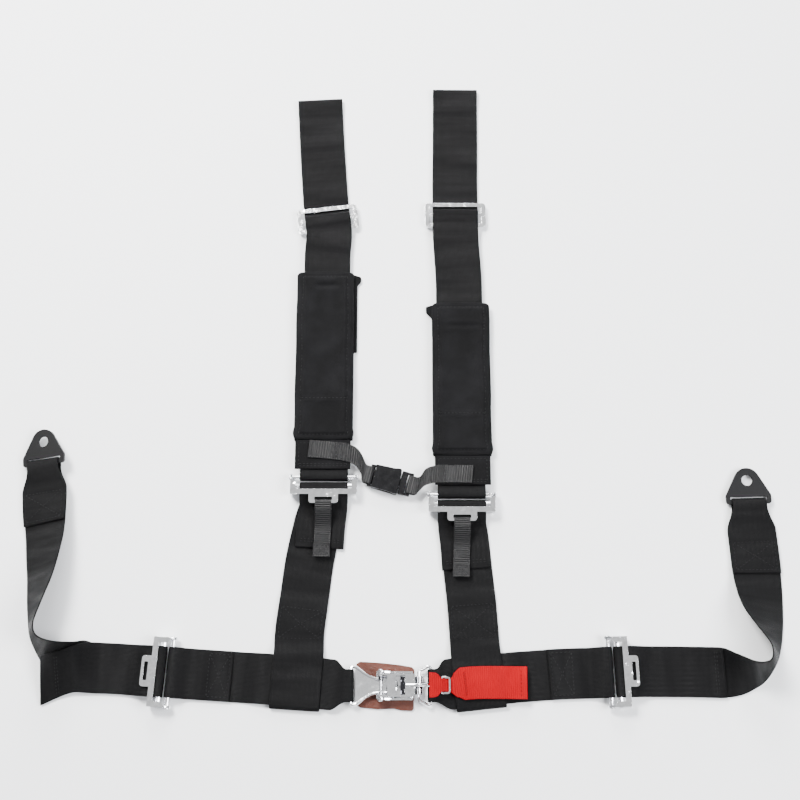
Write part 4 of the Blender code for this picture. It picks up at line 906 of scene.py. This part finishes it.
class Look(Net):
    """Material being laid, with its Principled shader and its coordinates."""

    def __init__(self, name, colour, roughness, metallic=0, **sockets):
        self.material = bpy.data.materials.new(name)
        self.material.use_nodes = True
        super().__init__(self.material.node_tree)
        self.colour = colour
        self.inputs = self.tree.nodes["Principled BSDF"].inputs
        sockets.update(Base_Color=(*colour, 1), Roughness=roughness, Metallic=metallic)
        for label, value in sockets.items():
            self.inputs[label.replace("_", " ")].default_value = value
        coordinates = self.node("ShaderNodeTexCoord").outputs
        self.place = coordinates["Object"]
        self.uv = coordinates["UV"]

    def tone(self, share, low, high):
        """From low to high times the base colour."""
        return self.mix(share, shade(self.colour, low), shade(self.colour, high))

    def grain(self, scale):
        return self.group(grain_group(), Vector=self.place, Scale=scale)

    def done(self, colour, roughness, normal):
        """Joins what varies to the shader and gives the material."""
        for label, value in (("Base Color", colour), ("Roughness", roughness),
                             ("Normal", normal)):
            if value is not None:
                self.put(value, self.inputs[label])
        return self.material


def webbing_material(name, colour, rib, thread, depth, rough, twill=1, **gloss):
    """Woven polyester in any width: weave in the strap's own UV with painted shade between the
    threads, creases, and painted sheen patches.
    """
    look = Look(name, colour, 0.7, **gloss)
    weave = look.group(weave_group(), UV=look.uv, Rib_pitch=rib, Thread_pitch=thread,
                       Twill=twill)
    crease = look.group(creases_and_sheen_group(), UV=look.uv)
    # painted shade: the weave's height mask darkens the grooves between threads and ribs and
    # lightens their tops
    light = look.tone(weave["Thread"], 0.45, 1.35)
    # painted highlight: broad patches 2.1 times lighter stand in for the cloth's sheen
    sheen_patch = look.mix(crease["Sheen_patches"], light, shade(colour, 2.1))
    height = look.math("ADD", look.times(weave["Height"], depth),
                       look.times(crease["Bands"], 1.6 * depth))
    return look.done(look.mix(look.times(crease["Sheen_patches"], 0.45), light, sheen_patch),
                     look.remap(crease["Bands"], 0, 1, rough[1], rough[0]),
                     look.bump(height, 0.001))


def pad_material(colour):
    """Plain cloth with a fine nap and soft rubbed patches."""
    look = Look("pad_cloth", colour, 0.82, Sheen_Weight=0.015, Sheen_Roughness=0.3,
                Specular_IOR_Level=0.1)
    grain = look.grain(1500)
    patches = look.remap(look.noise(look.place, 38, 4), 0.4, 0.75)
    return look.done(look.tone(patches, 0.8, 1.9),
                     look.remap(grain["Cloud"], 0.3, 0.7, 0.72, 0.92),
                     look.bump(grain["Height"], 0.0003, 0.6))


def plated_material(name, colour, smooth, dull, dent):
    """Bright plated metal with press dents, smears and fine marks."""
    look = Look(name, colour, smooth, 1)
    plate = look.group(plating_group(), Vector=look.place)
    rough = look.math("ADD", look.times(plate["Smears"], 0.5), look.times(plate["Marks"], 0.5))
    return look.done(look.tone(plate["Smears"], 1.05, 0.86),
                     look.remap(rough, 0, 1, smooth, dull),
                     look.bump(plate["Dents"], dent, 0.5))


COATED_BLACK = (0.004, 0.004, 0.0045)
BARE_STEEL = (0.03, 0.029, 0.028, 1)


def painted_material():
    """Black coated steel with thin spots rubbed through to bare steel, and orange-peel."""
    look = Look("anchor_black", COATED_BLACK, 0.42, Coat_Weight=0.03, Coat_Roughness=0.3,
                Specular_IOR_Level=0.16)
    cloud = look.grain(700)["Cloud"]
    wear = look.remap(look.noise(look.place, 420, 6, 0.7), 0.62, 0.72, 0, 0.6)
    return look.done(look.mix(wear, shade(COATED_BLACK, 1), BARE_STEEL),
                     look.remap(cloud, 0.3, 0.7, 0.34, 0.52),
                     look.bump(cloud, 0.00015, 0.5))


def plastic_material():
    """Moulded black plastic, glossy, with a very fine spark-eroded grain."""
    look = Look("buckle_plastic", COATED_BLACK, 0.3, Specular_IOR_Level=0.18)
    cloud = look.noise(look.place, 160, 3)
    return look.done(look.tone(cloud, 0.8, 1.6),
                     look.remap(cloud, 0.3, 0.7, 0.16, 0.28),
                     look.bump(look.grain(2600)["Height"], 0.00002, 0.25))


def leather_material(colour):
    """Soft leather: cells with dark gaps, and folds whose tone is lighter where they rise and
    darker in their hollows.
    """
    look = Look("backing_leather", colour, 0.5, Specular_IOR_Level=0.45)
    grain = look.grain(1100)
    fold = look.noise(look.place, 55, 5, 0.6)
    tone = look.tone(look.remap(fold, 0.35, 0.68), 0.6, 1.3)
    height = look.math("ADD", grain["Height"], look.times(fold, 3))
    return look.done(look.mix(grain["Height"], shade(colour, 0.55), tone),
                     look.remap(grain["Cloud"], 0.25, 0.75, 0.38, 0.62),
                     look.bump(height, 0.0004, 0.8))


def thread_material(name, colour):
    """Twisted sewing thread."""
    look = Look(name, colour, 0.5, Specular_IOR_Level=0.12)
    twist = look.noise(look.place, 5200, 2)
    return look.done(look.tone(twist, 0.7, 1.5), None, look.bump(twist, 0.00006, 0.7))


MATERIALS = {}


def make_materials():
    """Every material, under the name that pieces ask for it by."""
    colours = bpy.context.scene.harness_colours
    MATERIALS.update({
        "webbing": webbing_material(
            "webbing_black", colours.webbing, 1.27, 1.05, 0.3, (0.42, 0.78),
            Specular_IOR_Level=0.09),
        "tape": webbing_material(
            "tape_black", colours.tape, 0.8, 2.4, 0.2, (0.2, 0.4), 0,
            Coat_Weight=0.05, Coat_Roughness=0.16, Specular_IOR_Level=0.2),
        "red": webbing_material(
            "pull_red", colours.red, 0.9, 2.05, 0.3, (0.55, 0.75), 0,
            Specular_IOR_Level=0.06),
        "pad": pad_material(colours.pad),
        "chrome": plated_material("chrome_plate", colours.chrome, 0.06, 0.18, 0.004),
        "zinc": plated_material("zinc_plate", colours.zinc, 0.14, 0.34, 0.003),
        # painted shade: this steel is made dark so the catch and spring seen through the lever's
        # windows read as shadow
        "spring": plated_material("spring_steel", (0.07, 0.07, 0.08), 0.16, 0.32, 0.0002),
        "anchor": painted_material(),
        "plastic": plastic_material(),
        "leather": leather_material(colours.leather),
        "thread": thread_material("thread_black", (0.006, 0.006, 0.0065)),
        "red_thread": thread_material("thread_red", (0.16, 0.001, 0.002)),
    })


# ------------------------------------------------------------- metal pieces
BODY_OF = {node: body for body, nodes in frame["record"]["behaviour"]["bodies"].items()
           for node in nodes}


WELD = 0.000002          # metres
FLAT_ANGLE = 0.6         # degrees between faces that are merged
EDGE_ANGLE = 33        # degrees from which an edge is rounded


def refined(node, name, look, bevel, segments=3):
    """Copy of a frame node with its doubles merged and its edges rounded off."""
    mesh = frame["nodes"][node].data.copy()
    mesh.name = name
    work = bmesh.new()
    work.from_mesh(mesh)
    bmesh.ops.remove_doubles(work, verts=work.verts, dist=WELD)
    bmesh.ops.dissolve_limit(work, angle_limit=math.radians(FLAT_ANGLE), verts=work.verts,
                             edges=work.edges)
    work.to_mesh(mesh)
    work.free()
    mesh.shade_smooth()
    obj = add_object(name, mesh)
    edge = obj.modifiers.new("edge", "BEVEL")
    edge.width = bevel * MM
    edge.segments = segments
    edge.limit_method = "ANGLE"
    edge.angle_limit = math.radians(EDGE_ANGLE)
    edge.miter_outer = "MITER_ARC"
    obj.modifiers.new("normals", "WEIGHTED_NORMAL").keep_sharp = True
    finish_piece(obj, BODY_OF[node], look, node)


# --------------------------------------------------------------------- pads
CUSHION_LOW = 7.95
CUSHION_SEAM_Z = 10.75
FLAP_THICK = 1.6
SEAM_IN = 6.2
PAD_CORNER = 5
PAD_INSET = 0.6
PAD_STITCH_GAP = 1.3
CUSHION_STEP = 1.9
CUSHION_COLUMNS = 36
UP = (0, 0, 1)
PAD_CREASE = {"left": (13, 2.8, 17), "right": (23, 2, 28)}
PAD_CROSS_SEAM = 46


def waver(y, y0, reach):
    """How far the pad's sides stray: 0.45 sin(y / 13 + 1), and 1.6 low down."""
    return (0.45 * np.sin(y / 13 + 1) * np.clip(reach / 20, 0, 1)
            + 1.6 * np.exp(-((y - y0 - 8) / 5.5) ** 2))


def cushion_grid(side):
    """Closed rings along Y round a crowned cushion, with its seam mask.

    The top is 9.2 + 3.4 (1 - exp(-d / 2)) for a point d inside the outline,
    less a channel 1.5 exp(-((d - seam) / 1.1)^2), plus a slow crown over the
    width, a cross seam near the lower end, a soft crease near the upper end
    and small puckers along the sewn line, outside which it lies 1.3 lower. The
    plan's ends are rounded, and its sides follow waver().
    """
    y0, y1 = PAD_SPAN[side]
    rows = int((y1 - y0) / CUSHION_STEP) + 1
    y = np.linspace(y0, y1, rows)[:, None]
    reach = np.minimum(y - y0, y1 - y)
    corner = np.clip(PAD_CORNER - reach, 0, PAD_CORNER)
    half = (PAD_HALF - PAD_INSET - (PAD_CORNER - np.sqrt(PAD_CORNER ** 2 - corner ** 2))
            + waver(y, y0, reach))
    share = np.sin(np.linspace(-0.5, 0.5, CUSHION_COLUMNS) * np.pi * 0.97) / math.sin(0.485 * np.pi)
    x = share[None, :] * half
    d = np.minimum(half - abs(x), reach)
    channel = 1.5 * np.exp(-((d - SEAM_IN) / 1.1) ** 2)
    crown = 0.5 * (1 - share[None, :] ** 2) * np.clip((reach - SEAM_IN) / 20, 0, 1)
    wide, deep, down = PAD_CREASE[side]
    crease = deep * np.exp(-((x - 1.5) / wide) ** 4 - ((y - y1 + down) / 3) ** 2)
    seam = 0.9 * np.exp(-((y - y0 - PAD_CROSS_SEAM) / 1.2) ** 2) * (abs(x) < half - SEAM_IN)
    puckers = 0.22 * np.sin(y / 1.9) * np.exp(-((d - SEAM_IN) / 2.6) ** 2)
    border = 1.3 / (1 + np.exp(np.clip((d - SEAM_IN) / 0.45, -40, 40)))
    top = (9.2 + 3.4 * (1 - np.exp(-d / 2)) - border * (1 - np.exp(-d)) - channel
           + crown - crease - seam + puckers)
    under = share[None, ::-2] * (half - 0.4)
    side_x = np.stack((half[:, 0] + 0.35, half[:, 0] + 0.1), 1)
    x_all = np.hstack((x, side_x, under, -side_x[:, ::-1]))
    flat = np.full_like(under, CUSHION_LOW)
    z_side = np.broadcast_to(np.array((8.75, 8.25)), side_x.shape)
    z_all = np.hstack((top, z_side, flat, z_side[:, ::-1]))
    y_all = np.broadcast_to(y, x_all.shape)
    sewn = (abs(d - SEAM_IN) < 1) | (abs(y - y0 - PAD_CROSS_SEAM) < 1) | (crease > 0.5)
    held = np.hstack((sewn, np.ones((rows, 2), bool),
                      np.ones(under.shape, bool), np.ones((rows, 2), bool)))
    held[0] = held[-1] = True
    points = np.stack((x_all + PAD_X[side], y_all, z_all), -1)
    return points, held


SWELL_FRAMES = 20


def positions(mesh):
    """A mesh's points as rows of three."""
    flat = np.empty(len(mesh.vertices) * 3)
    mesh.vertices.foreach_get("co", flat)
    return flat.reshape(-1, 3)


def swell(obj, held, limit):
    """Cloth simulation that blows the piece up between its sewn lines."""
    scene = bpy.context.scene
    group = obj.vertex_groups.new(name="sewn")
    group.add(np.nonzero(held.ravel())[0].tolist(), 1, "REPLACE")
    cloth = obj.modifiers.new("swell", "CLOTH")
    settings = cloth.settings
    settings.use_pressure = True
    settings.uniform_pressure_force = scene.harness_sizes.pad_pressure
    settings.effector_weights.gravity = 0
    settings.vertex_group_mass = group.name
    settings.quality = 6
    settings.mass = 0.15
    cloth.point_cache.frame_start = 1
    cloth.point_cache.frame_end = SWELL_FRAMES
    for step in range(1, SWELL_FRAMES + 1):
        scene.frame_set(step)
    before = positions(obj.data)
    shift = positions(obj.evaluated_get(bpy.context.evaluated_depsgraph_get()).data) - before
    size = np.linalg.norm(shift, axis=1, keepdims=True)
    shift *= np.minimum(1, limit / np.maximum(size, 1e-9))
    obj.modifiers.remove(cloth)
    obj.vertex_groups.remove(group)
    obj.data.vertices.foreach_set("co", (before + shift).ravel())
    obj.data.update()
    scene.frame_set(1)


def cushion(side):
    """Front of the pad: foam under cloth, sewn down round its border."""
    points, held = cushion_grid(side)
    obj = tube(f"pad_{side}_cushion", points)
    swell(obj, held, bpy.context.scene.harness_sizes.pad_swell)
    smooth = obj.modifiers.new("smooth", "SUBSURF")
    smooth.levels = smooth.render_levels = 1
    finish_piece(obj, f"{side}_pad", "pad", f"pad_{side}_cover", f"pad_{side}_foam_core")


def pad_sides(side):
    """Rolled seams that join the pad's front to its back along both edges.

    Each is a tube whose section is 3.8 wide and 4.1 high, wavering slightly
    with sin(y / 11), and shrunk to a small cap at both ends.
    """
    y0, y1 = PAD_SPAN[side][0] + 1.5, PAD_SPAN[side][1] - 1.5
    y = np.linspace(y0, y1, 120)[:, None]
    a = np.linspace(0, 2 * np.pi, 18, endpoint=False)[None, :]
    reach = np.minimum(y - y0, y1 - y)
    fat = np.sqrt(np.clip(1 - (1 - reach / 2.2).clip(0, 1) ** 2, 0.004, 1))
    z = 5.8 + 2.05 * fat * np.sin(a)
    for sign, edge in ((-1, "outer"), (1, "inner")):
        x = PAD_X[side] + sign * (29.65 + 0.18 * np.sin(y / 11)) + 1.9 * fat * np.cos(a)
        points = np.stack((x, np.broadcast_to(y, x.shape), z), -1)
        finish_piece(tube(f"pad_{side}_{edge}_seam", points), f"{side}_pad", "pad")


def flap_path(side):
    """Cloth panel that runs down from the pad to carry the sternum tape."""
    x = PAD_X[side]
    start = PAD_SPAN[side][0] - 0.4
    end = start - 31.4
    u = np.linspace(0, 1, 40)
    centre = np.stack((np.full(40, x), start + (end - start) * u, 9.2 + 1.6 * u), 1)
    across = np.tile((1, 0, 0), (40, 1))
    return Path(centre, across, np.full(40, 2 * PAD_HALF - 4), centre[:, 1], centre[:, 2],
                spacing=0.9, soften=0)


# ------------------------------------------------------------- sewn details
def box(s0, s1, half, crossed=True):
    """Corners of a sewn box between two lengths, with or without its cross."""
    around = [(s0, -half), (s1, -half), (s1, half), (s0, half), (s0, -half)]
    return around + [(s1, half), (s1, -half), (s0, half)] if crossed else around


def webbing_stitches(thread, side):
    """Loops, tails and hems of one side's two-inch webbing."""
    half = HALF_WEB - 4
    top, _ = LAP_EDGE_Y[side]
    lower = PATHS[f"shoulder_{side}_lower_strap"]
    for inset in (6.5, 9):
        thread.on_path(lower, [(inset, -half), (inset, half)])
    ends = [lower.row(y, WRAP_Z[1]) for y in (LOOP_END_Y[side] - 4, top + 17)]
    thread.on_path(lower, box(*sorted(ends), half))
    inner = PATHS[f"lap_{side}_inner_strap"]
    end = inner.s[-1]
    thread.on_path(inner, box(end - 24, end - 3, half))
    outer = PATHS[f"lap_{side}_outer_strap"]
    thread.on_path(outer, box(3.5, 33, half))
    hem = outer.s[-1] - (20.5 if side == "left" else 9)
    for inset in (0, 2.4):
        thread.on_path(outer, [(hem + inset, -half), (hem + inset, half)])


def pad_stitches(thread, side):
    """Border and cross seam of the pad's front, at the bottom of its channel."""
    y0, y1 = PAD_SPAN[side]
    x = PAD_X[side]
    edge = PAD_HALF - PAD_INSET - SEAM_IN
    low = y0 + SEAM_IN
    high = y1 - SEAM_IN
    y = np.linspace(low, high, 90)
    flat = np.linspace(-edge, edge, 40)
    z = CUSHION_SEAM_Z
    for sign in (-1, 1):
        run_up = np.stack((x + sign * (edge + waver(y, y0, y - y0)), y, np.full(90, z)), 1)
        thread.line(run_up, np.tile(UP, (90, 1)), PAD_STITCH_GAP)
    for level, lift in ((low, 0), (high, 0), (y0 + PAD_CROSS_SEAM, 1.6)):
        across = np.stack((x + flat, np.full(40, level), np.full(40, z + lift)), 1)
        thread.line(across, np.tile(UP, (40, 1)), PAD_STITCH_GAP)
    flap = PATHS[f"pad_{side}_flap"]
    end = flap.s[-1]
    thread.on_path(flap, box(3, end - 3, PAD_HALF - 6, False), FLAP_THICK)
    thread.on_path(flap, [(end - 5.4, 6 - PAD_HALF), (end - 5.4, PAD_HALF - 6)],
                   FLAP_THICK)
    tape = PATHS[f"sternum_{side}_tape"]
    thread.on_path(tape, box(30, 45, STERNUM_WIDTH / 2 - 2.2), TAPE)
    thread.on_path(tape, [(3, 2.2 - STERNUM_WIDTH / 2), (3, STERNUM_WIDTH / 2 - 2.2)],
                   TAPE)


def tape_hem(side):
    """Smooth turned-over end of a pull tape, lying on its upper layer."""
    end = TAPE_END_Y[side]
    x = STRAP_X[side] - 1.5
    rest = TAPE_REST + 2 * (TAPE + GAP)
    guide = guide_in_y([(end - 4, x), (end + 6, x + 0.1), (end + 16, x + 0.4)])
    path = follow(guide, [run(end - 0.8, end + 13, rest + 0.1)], TAPE_WIDTH + 0.3,
                  spacing=0.6)
    return ribbon(f"shoulder_{side}_pull_tape_hem", path, HEM_THICK, columns=11,
                  wave=0.08), path


# ------------------------------------------------------------------ operators
FLOOR_Z = -0.0004
FLOOR_TONES = ((0.85, 0.86, 0.88, 1), (0.88, 0.89, 0.905, 1))
SKY_TONES = ((0.58, 0.59, 0.61, 1), (1, 1, 1, 1))
SKY_STRENGTH = 0.78
LIGHTS = (               # name, place, side, watts, colour
    ("key_light", (-1, 1, 1.9), 0.8, 165, (1, 0.99, 0.97)),
    ("fill_light", (1.5, -0.5, 1.7), 1.2, 95, (0.97, 0.98, 1)),
    ("low_light", (-0.2, 1.9, 1.1), 0.9, 70, (1, 1, 1)))
CAMERA_AT = (0, -392, 1366)
CAMERA_LENS = 59.13


def point_at(obj, place, target=(0, 0, 0)):
    """Puts a light or camera at place, looking at target."""
    obj.location = place
    obj.rotation_euler = (Vector(target) - Vector(place)).to_track_quat("-Z", "Y").to_euler()


class HARNESS_OT_stage(bpy.types.Operator):
    """Pale floor, soft studio lights and the camera"""

    bl_idname = "harness.stage"
    bl_label = "Stage"

    def execute(self, context):
        scene = context.scene
        half = scene.harness_sizes.floor_size / 2
        corners = [(x * half, y * half, FLOOR_Z)
                   for x, y in ((-1, -1), (1, -1), (1, 1), (-1, 1))]
        floor = build_mesh("floor", corners, [(0, 1, 2, 3)], smooth=False)
        look = Look("pale_floor", (0.86, 0.87, 0.89), 0.7)
        floor.data.materials.append(look.done(
            look.mix(look.noise(look.place, 3, 2), *FLOOR_TONES), None, None))
        sky = bpy.data.worlds.new("studio")
        sky.use_nodes = True
        background = sky.node_tree.nodes["Background"].inputs
        net = Net(sky.node_tree)
        height = net.node("ShaderNodeSeparateXYZ")
        net.put(net.node("ShaderNodeTexCoord").outputs["Generated"], height.inputs[0])
        rise = net.remap(height.outputs["Z"], 0.45, 0.96)
        net.put(net.mix(rise, *SKY_TONES), background["Color"])
        background["Strength"].default_value = SKY_STRENGTH
        scene.world = sky
        for name, place, size, power, colour in LIGHTS:
            data = bpy.data.lights.new(name, "AREA")
            data.energy = power
            data.size = size
            data.color = colour
            point_at(add_object(name, data), place)
        data = bpy.data.cameras.new("camera")
        data.sensor_width = 36
        data.lens = CAMERA_LENS
        scene.camera = add_object("camera", data)
        point_at(scene.camera, world(CAMERA_AT), world((0, 0, 0)))
        return {"FINISHED"}


PATHS = {}


class HARNESS_OT_webbing(bpy.types.Operator):
    """Two-inch lap and shoulder webbing"""

    bl_idname = "harness.webbing"
    bl_label = "Webbing"

    def execute(self, context):
        kinds = (("shoulder", "upper", upper_path), ("shoulder", "lower", lower_path),
                 ("lap", "inner", lap_inner_path), ("lap", "outer", lap_outer_path))
        for side in SIDES:
            for place, part, route in kinds:
                node = f"{place}_{side}_{part}_strap"
                PATHS[node] = route(side)
                strip = ribbon(f"{place}_{side}_{part}_webbing", PATHS[node])
                finish_piece(strip, FIXED, "webbing", node)
        return {"FINISHED"}


class HARNESS_OT_tapes(bpy.types.Operator):
    """Ribbed pull tapes and sternum strap"""

    bl_idname = "harness.tapes"
    bl_label = "Ribbed tapes"

    def execute(self, context):
        for side in SIDES:
            adjuster = f"shoulder_{side}_adjuster"
            for node, path, body, ribs in (
                    (f"shoulder_{side}_pull_tape", pull_path(side), adjuster, 2.3),
                    (f"sternum_{side}_tape", sternum_path(side), f"{side}_pad", 2.6)):
                PATHS[node] = path
                strip = ribbon(f"{node}_woven", path, TAPE, columns=11, wave=0.05,
                               ribs=ribs, rib_height=0.45)
                finish_piece(strip, body, "tape", node)
            hem, path = tape_hem(side)
            PATHS[hem.name] = path
            finish_piece(hem, adjuster, "tape")
        return {"FINISHED"}


class HARNESS_OT_pads(bpy.types.Operator):
    """Shoulder pads: cushions, rolled seams, backs and flaps"""

    bl_idname = "harness.pads"
    bl_label = "Shoulder pads"

    def execute(self, context):
        for side in SIDES:
            cushion(side)
            pad_sides(side)
            refined(f"pad_{side}_back_panel", f"pad_{side}_back", "pad", 1.2, 4)
            node = f"pad_{side}_flap"
            PATHS[node] = flap_path(side)
            flap = ribbon(f"{node}_panel", PATHS[node], FLAP_THICK, columns=17, wave=0.25)
            finish_piece(flap, f"{side}_pad", "pad", node)
        return {"FINISHED"}


class HARNESS_OT_adjusters(bpy.types.Operator):
    """Plated adjuster frames, their pins and knurled bars"""

    bl_idname = "harness.adjusters"
    bl_label = "Adjusters"

    def execute(self, context):
        for place in ("shoulder", "lap"):
            for side in SIDES:
                name = f"{place}_{side}"
                refined(f"{name}_adjuster_frame", f"{name}_frame", "chrome", 0.45)
                refined(f"{name}_adjuster_pin", f"{name}_pin", "zinc", 0.3, 2)
                refined(f"{name}_knurled_bar", f"{name}_bar", "zinc", 0.15, 1)
        return {"FINISHED"}


class HARNESS_OT_hardware(bpy.types.Operator):
    """Slides, anchor plates and the sternum buckle"""

    bl_idname = "harness.hardware"
    bl_label = "Slides, anchors and buckle"

    def execute(self, context):
        for side in SIDES:
            refined(f"shoulder_{side}_slide", f"shoulder_{side}_three_bar_slide", "zinc", 0.7, 4)
            refined(f"{side}_anchor_plate", f"{side}_anchor", "anchor", 0.5)
        for part in ("housing", "plug", "upper_prong", "lower_prong"):
            refined(f"sternum_buckle_{part}", f"buckle_{part}", "plastic", 0.6)
        return {"FINISHED"}


class HARNESS_OT_latch(bpy.types.Operator):
    """Latch, link, ring, red release pull and leather"""

    bl_idname = "harness.latch"
    bl_label = "Latch"

    def execute(self, context):
        for node, look, bevel in (
                ("link_plate", "zinc", 0.3), ("belt_ring", "zinc", 0.3),
                ("latch_base", "chrome", 0.35), ("latch_lever", "chrome", 0.35),
                # the catch and spring take the dark steel that paints shade in the lever's windows
                ("latch_pivot_pin", "zinc", 0.3), ("latch_catch", "spring", 0.25),
                ("latch_rivet_upper", "zinc", 0.2), ("latch_rivet_lower", "zinc", 0.2),
                ("latch_spring", "spring", 0.12)):
            refined(node, f"{node}_plated", look, bevel)
        node = "latch_release_pull"
        PATHS[node] = release_path()
        pull = ribbon("release_pull_webbing", PATHS[node], columns=19, wave=0.08,
                      ribs=2.05, rib_height=0.22)
        finish_piece(pull, "lever", "red", node)
        refined("leather_backing_pad", "leather_backing", "leather", 0.7)
        return {"FINISHED"}


class HARNESS_OT_stitching(bpy.types.Operator):
    """Sewing thread on the webbing, tapes, pads and release pull"""

    bl_idname = "harness.stitching"
    bl_label = "Stitching"

    def execute(self, context):
        fixed = Thread()
        for side in SIDES:
            webbing_stitches(fixed, side)
            pad, tape = Thread(), Thread()
            pad_stitches(pad, side)
            finish_piece(pad.build(f"pad_{side}_stitches"), f"{side}_pad", "thread",
                         slot="pad_fabric")
            hem = PATHS[f"shoulder_{side}_pull_tape_hem"]
            tape.on_path(hem, box(2, hem.s[-1] - 2, TAPE_WIDTH / 2 - 2), HEM_THICK)
            finish_piece(tape.build(f"shoulder_{side}_pull_stitches"),
                         f"shoulder_{side}_adjuster", "thread", slot="ribbed_tape")
        finish_piece(fixed.build("webbing_stitches"), FIXED, "thread", slot="webbing")
        pull = PATHS["latch_release_pull"]
        tack = Thread()
        start, end = pull.row(65), pull.row(123)
        zigzag = [(start + 3 * (k % 2), -12 + 1.5 * k) for k in range(17)]
        tack.on_path(pull, zigzag, WEB + 0.2)
        tack.on_path(pull, [(end, -14), (end, 14)], WEB + 0.2)
        finish_piece(tack.build("release_pull_stitches"), "lever", "red_thread")
        return {"FINISHED"}


class HARNESS_PT_panel(bpy.types.Panel):
    """Lists the harness's operators in build order"""

    bl_label = "Racing harness"
    bl_idname = "HARNESS_PT_panel"
    bl_space_type = "VIEW_3D"
    bl_region_type = "UI"
    bl_category = "Harness"

    def draw(self, context):
        for group in (context.scene.harness_sizes, context.scene.harness_colours):
            for name in group.__annotations__:
                self.layout.prop(group, name)
        for step in STEPS:
            self.layout.operator(step.bl_idname)


STEPS = (HARNESS_OT_stage, HARNESS_OT_webbing, HARNESS_OT_tapes, HARNESS_OT_pads,
         HARNESS_OT_adjusters, HARNESS_OT_hardware, HARNESS_OT_latch, HARNESS_OT_stitching)
CLASSES = (HarnessSizes, HarnessColours, *STEPS, HARNESS_PT_panel)


def register():
    for kind in CLASSES:
        bpy.utils.register_class(kind)
    bpy.types.Scene.harness_sizes = bpy.props.PointerProperty(type=HarnessSizes)
    bpy.types.Scene.harness_colours = bpy.props.PointerProperty(type=HarnessColours)


def unregister():
    del bpy.types.Scene.harness_colours
    del bpy.types.Scene.harness_sizes
    for kind in reversed(CLASSES):
        bpy.utils.unregister_class(kind)


def main():
    register()
    make_materials()
    for step in STEPS:
        getattr(bpy.ops.harness, step.bl_idname.split(".")[1])()
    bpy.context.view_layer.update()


if __name__ == "__main__":
    main()
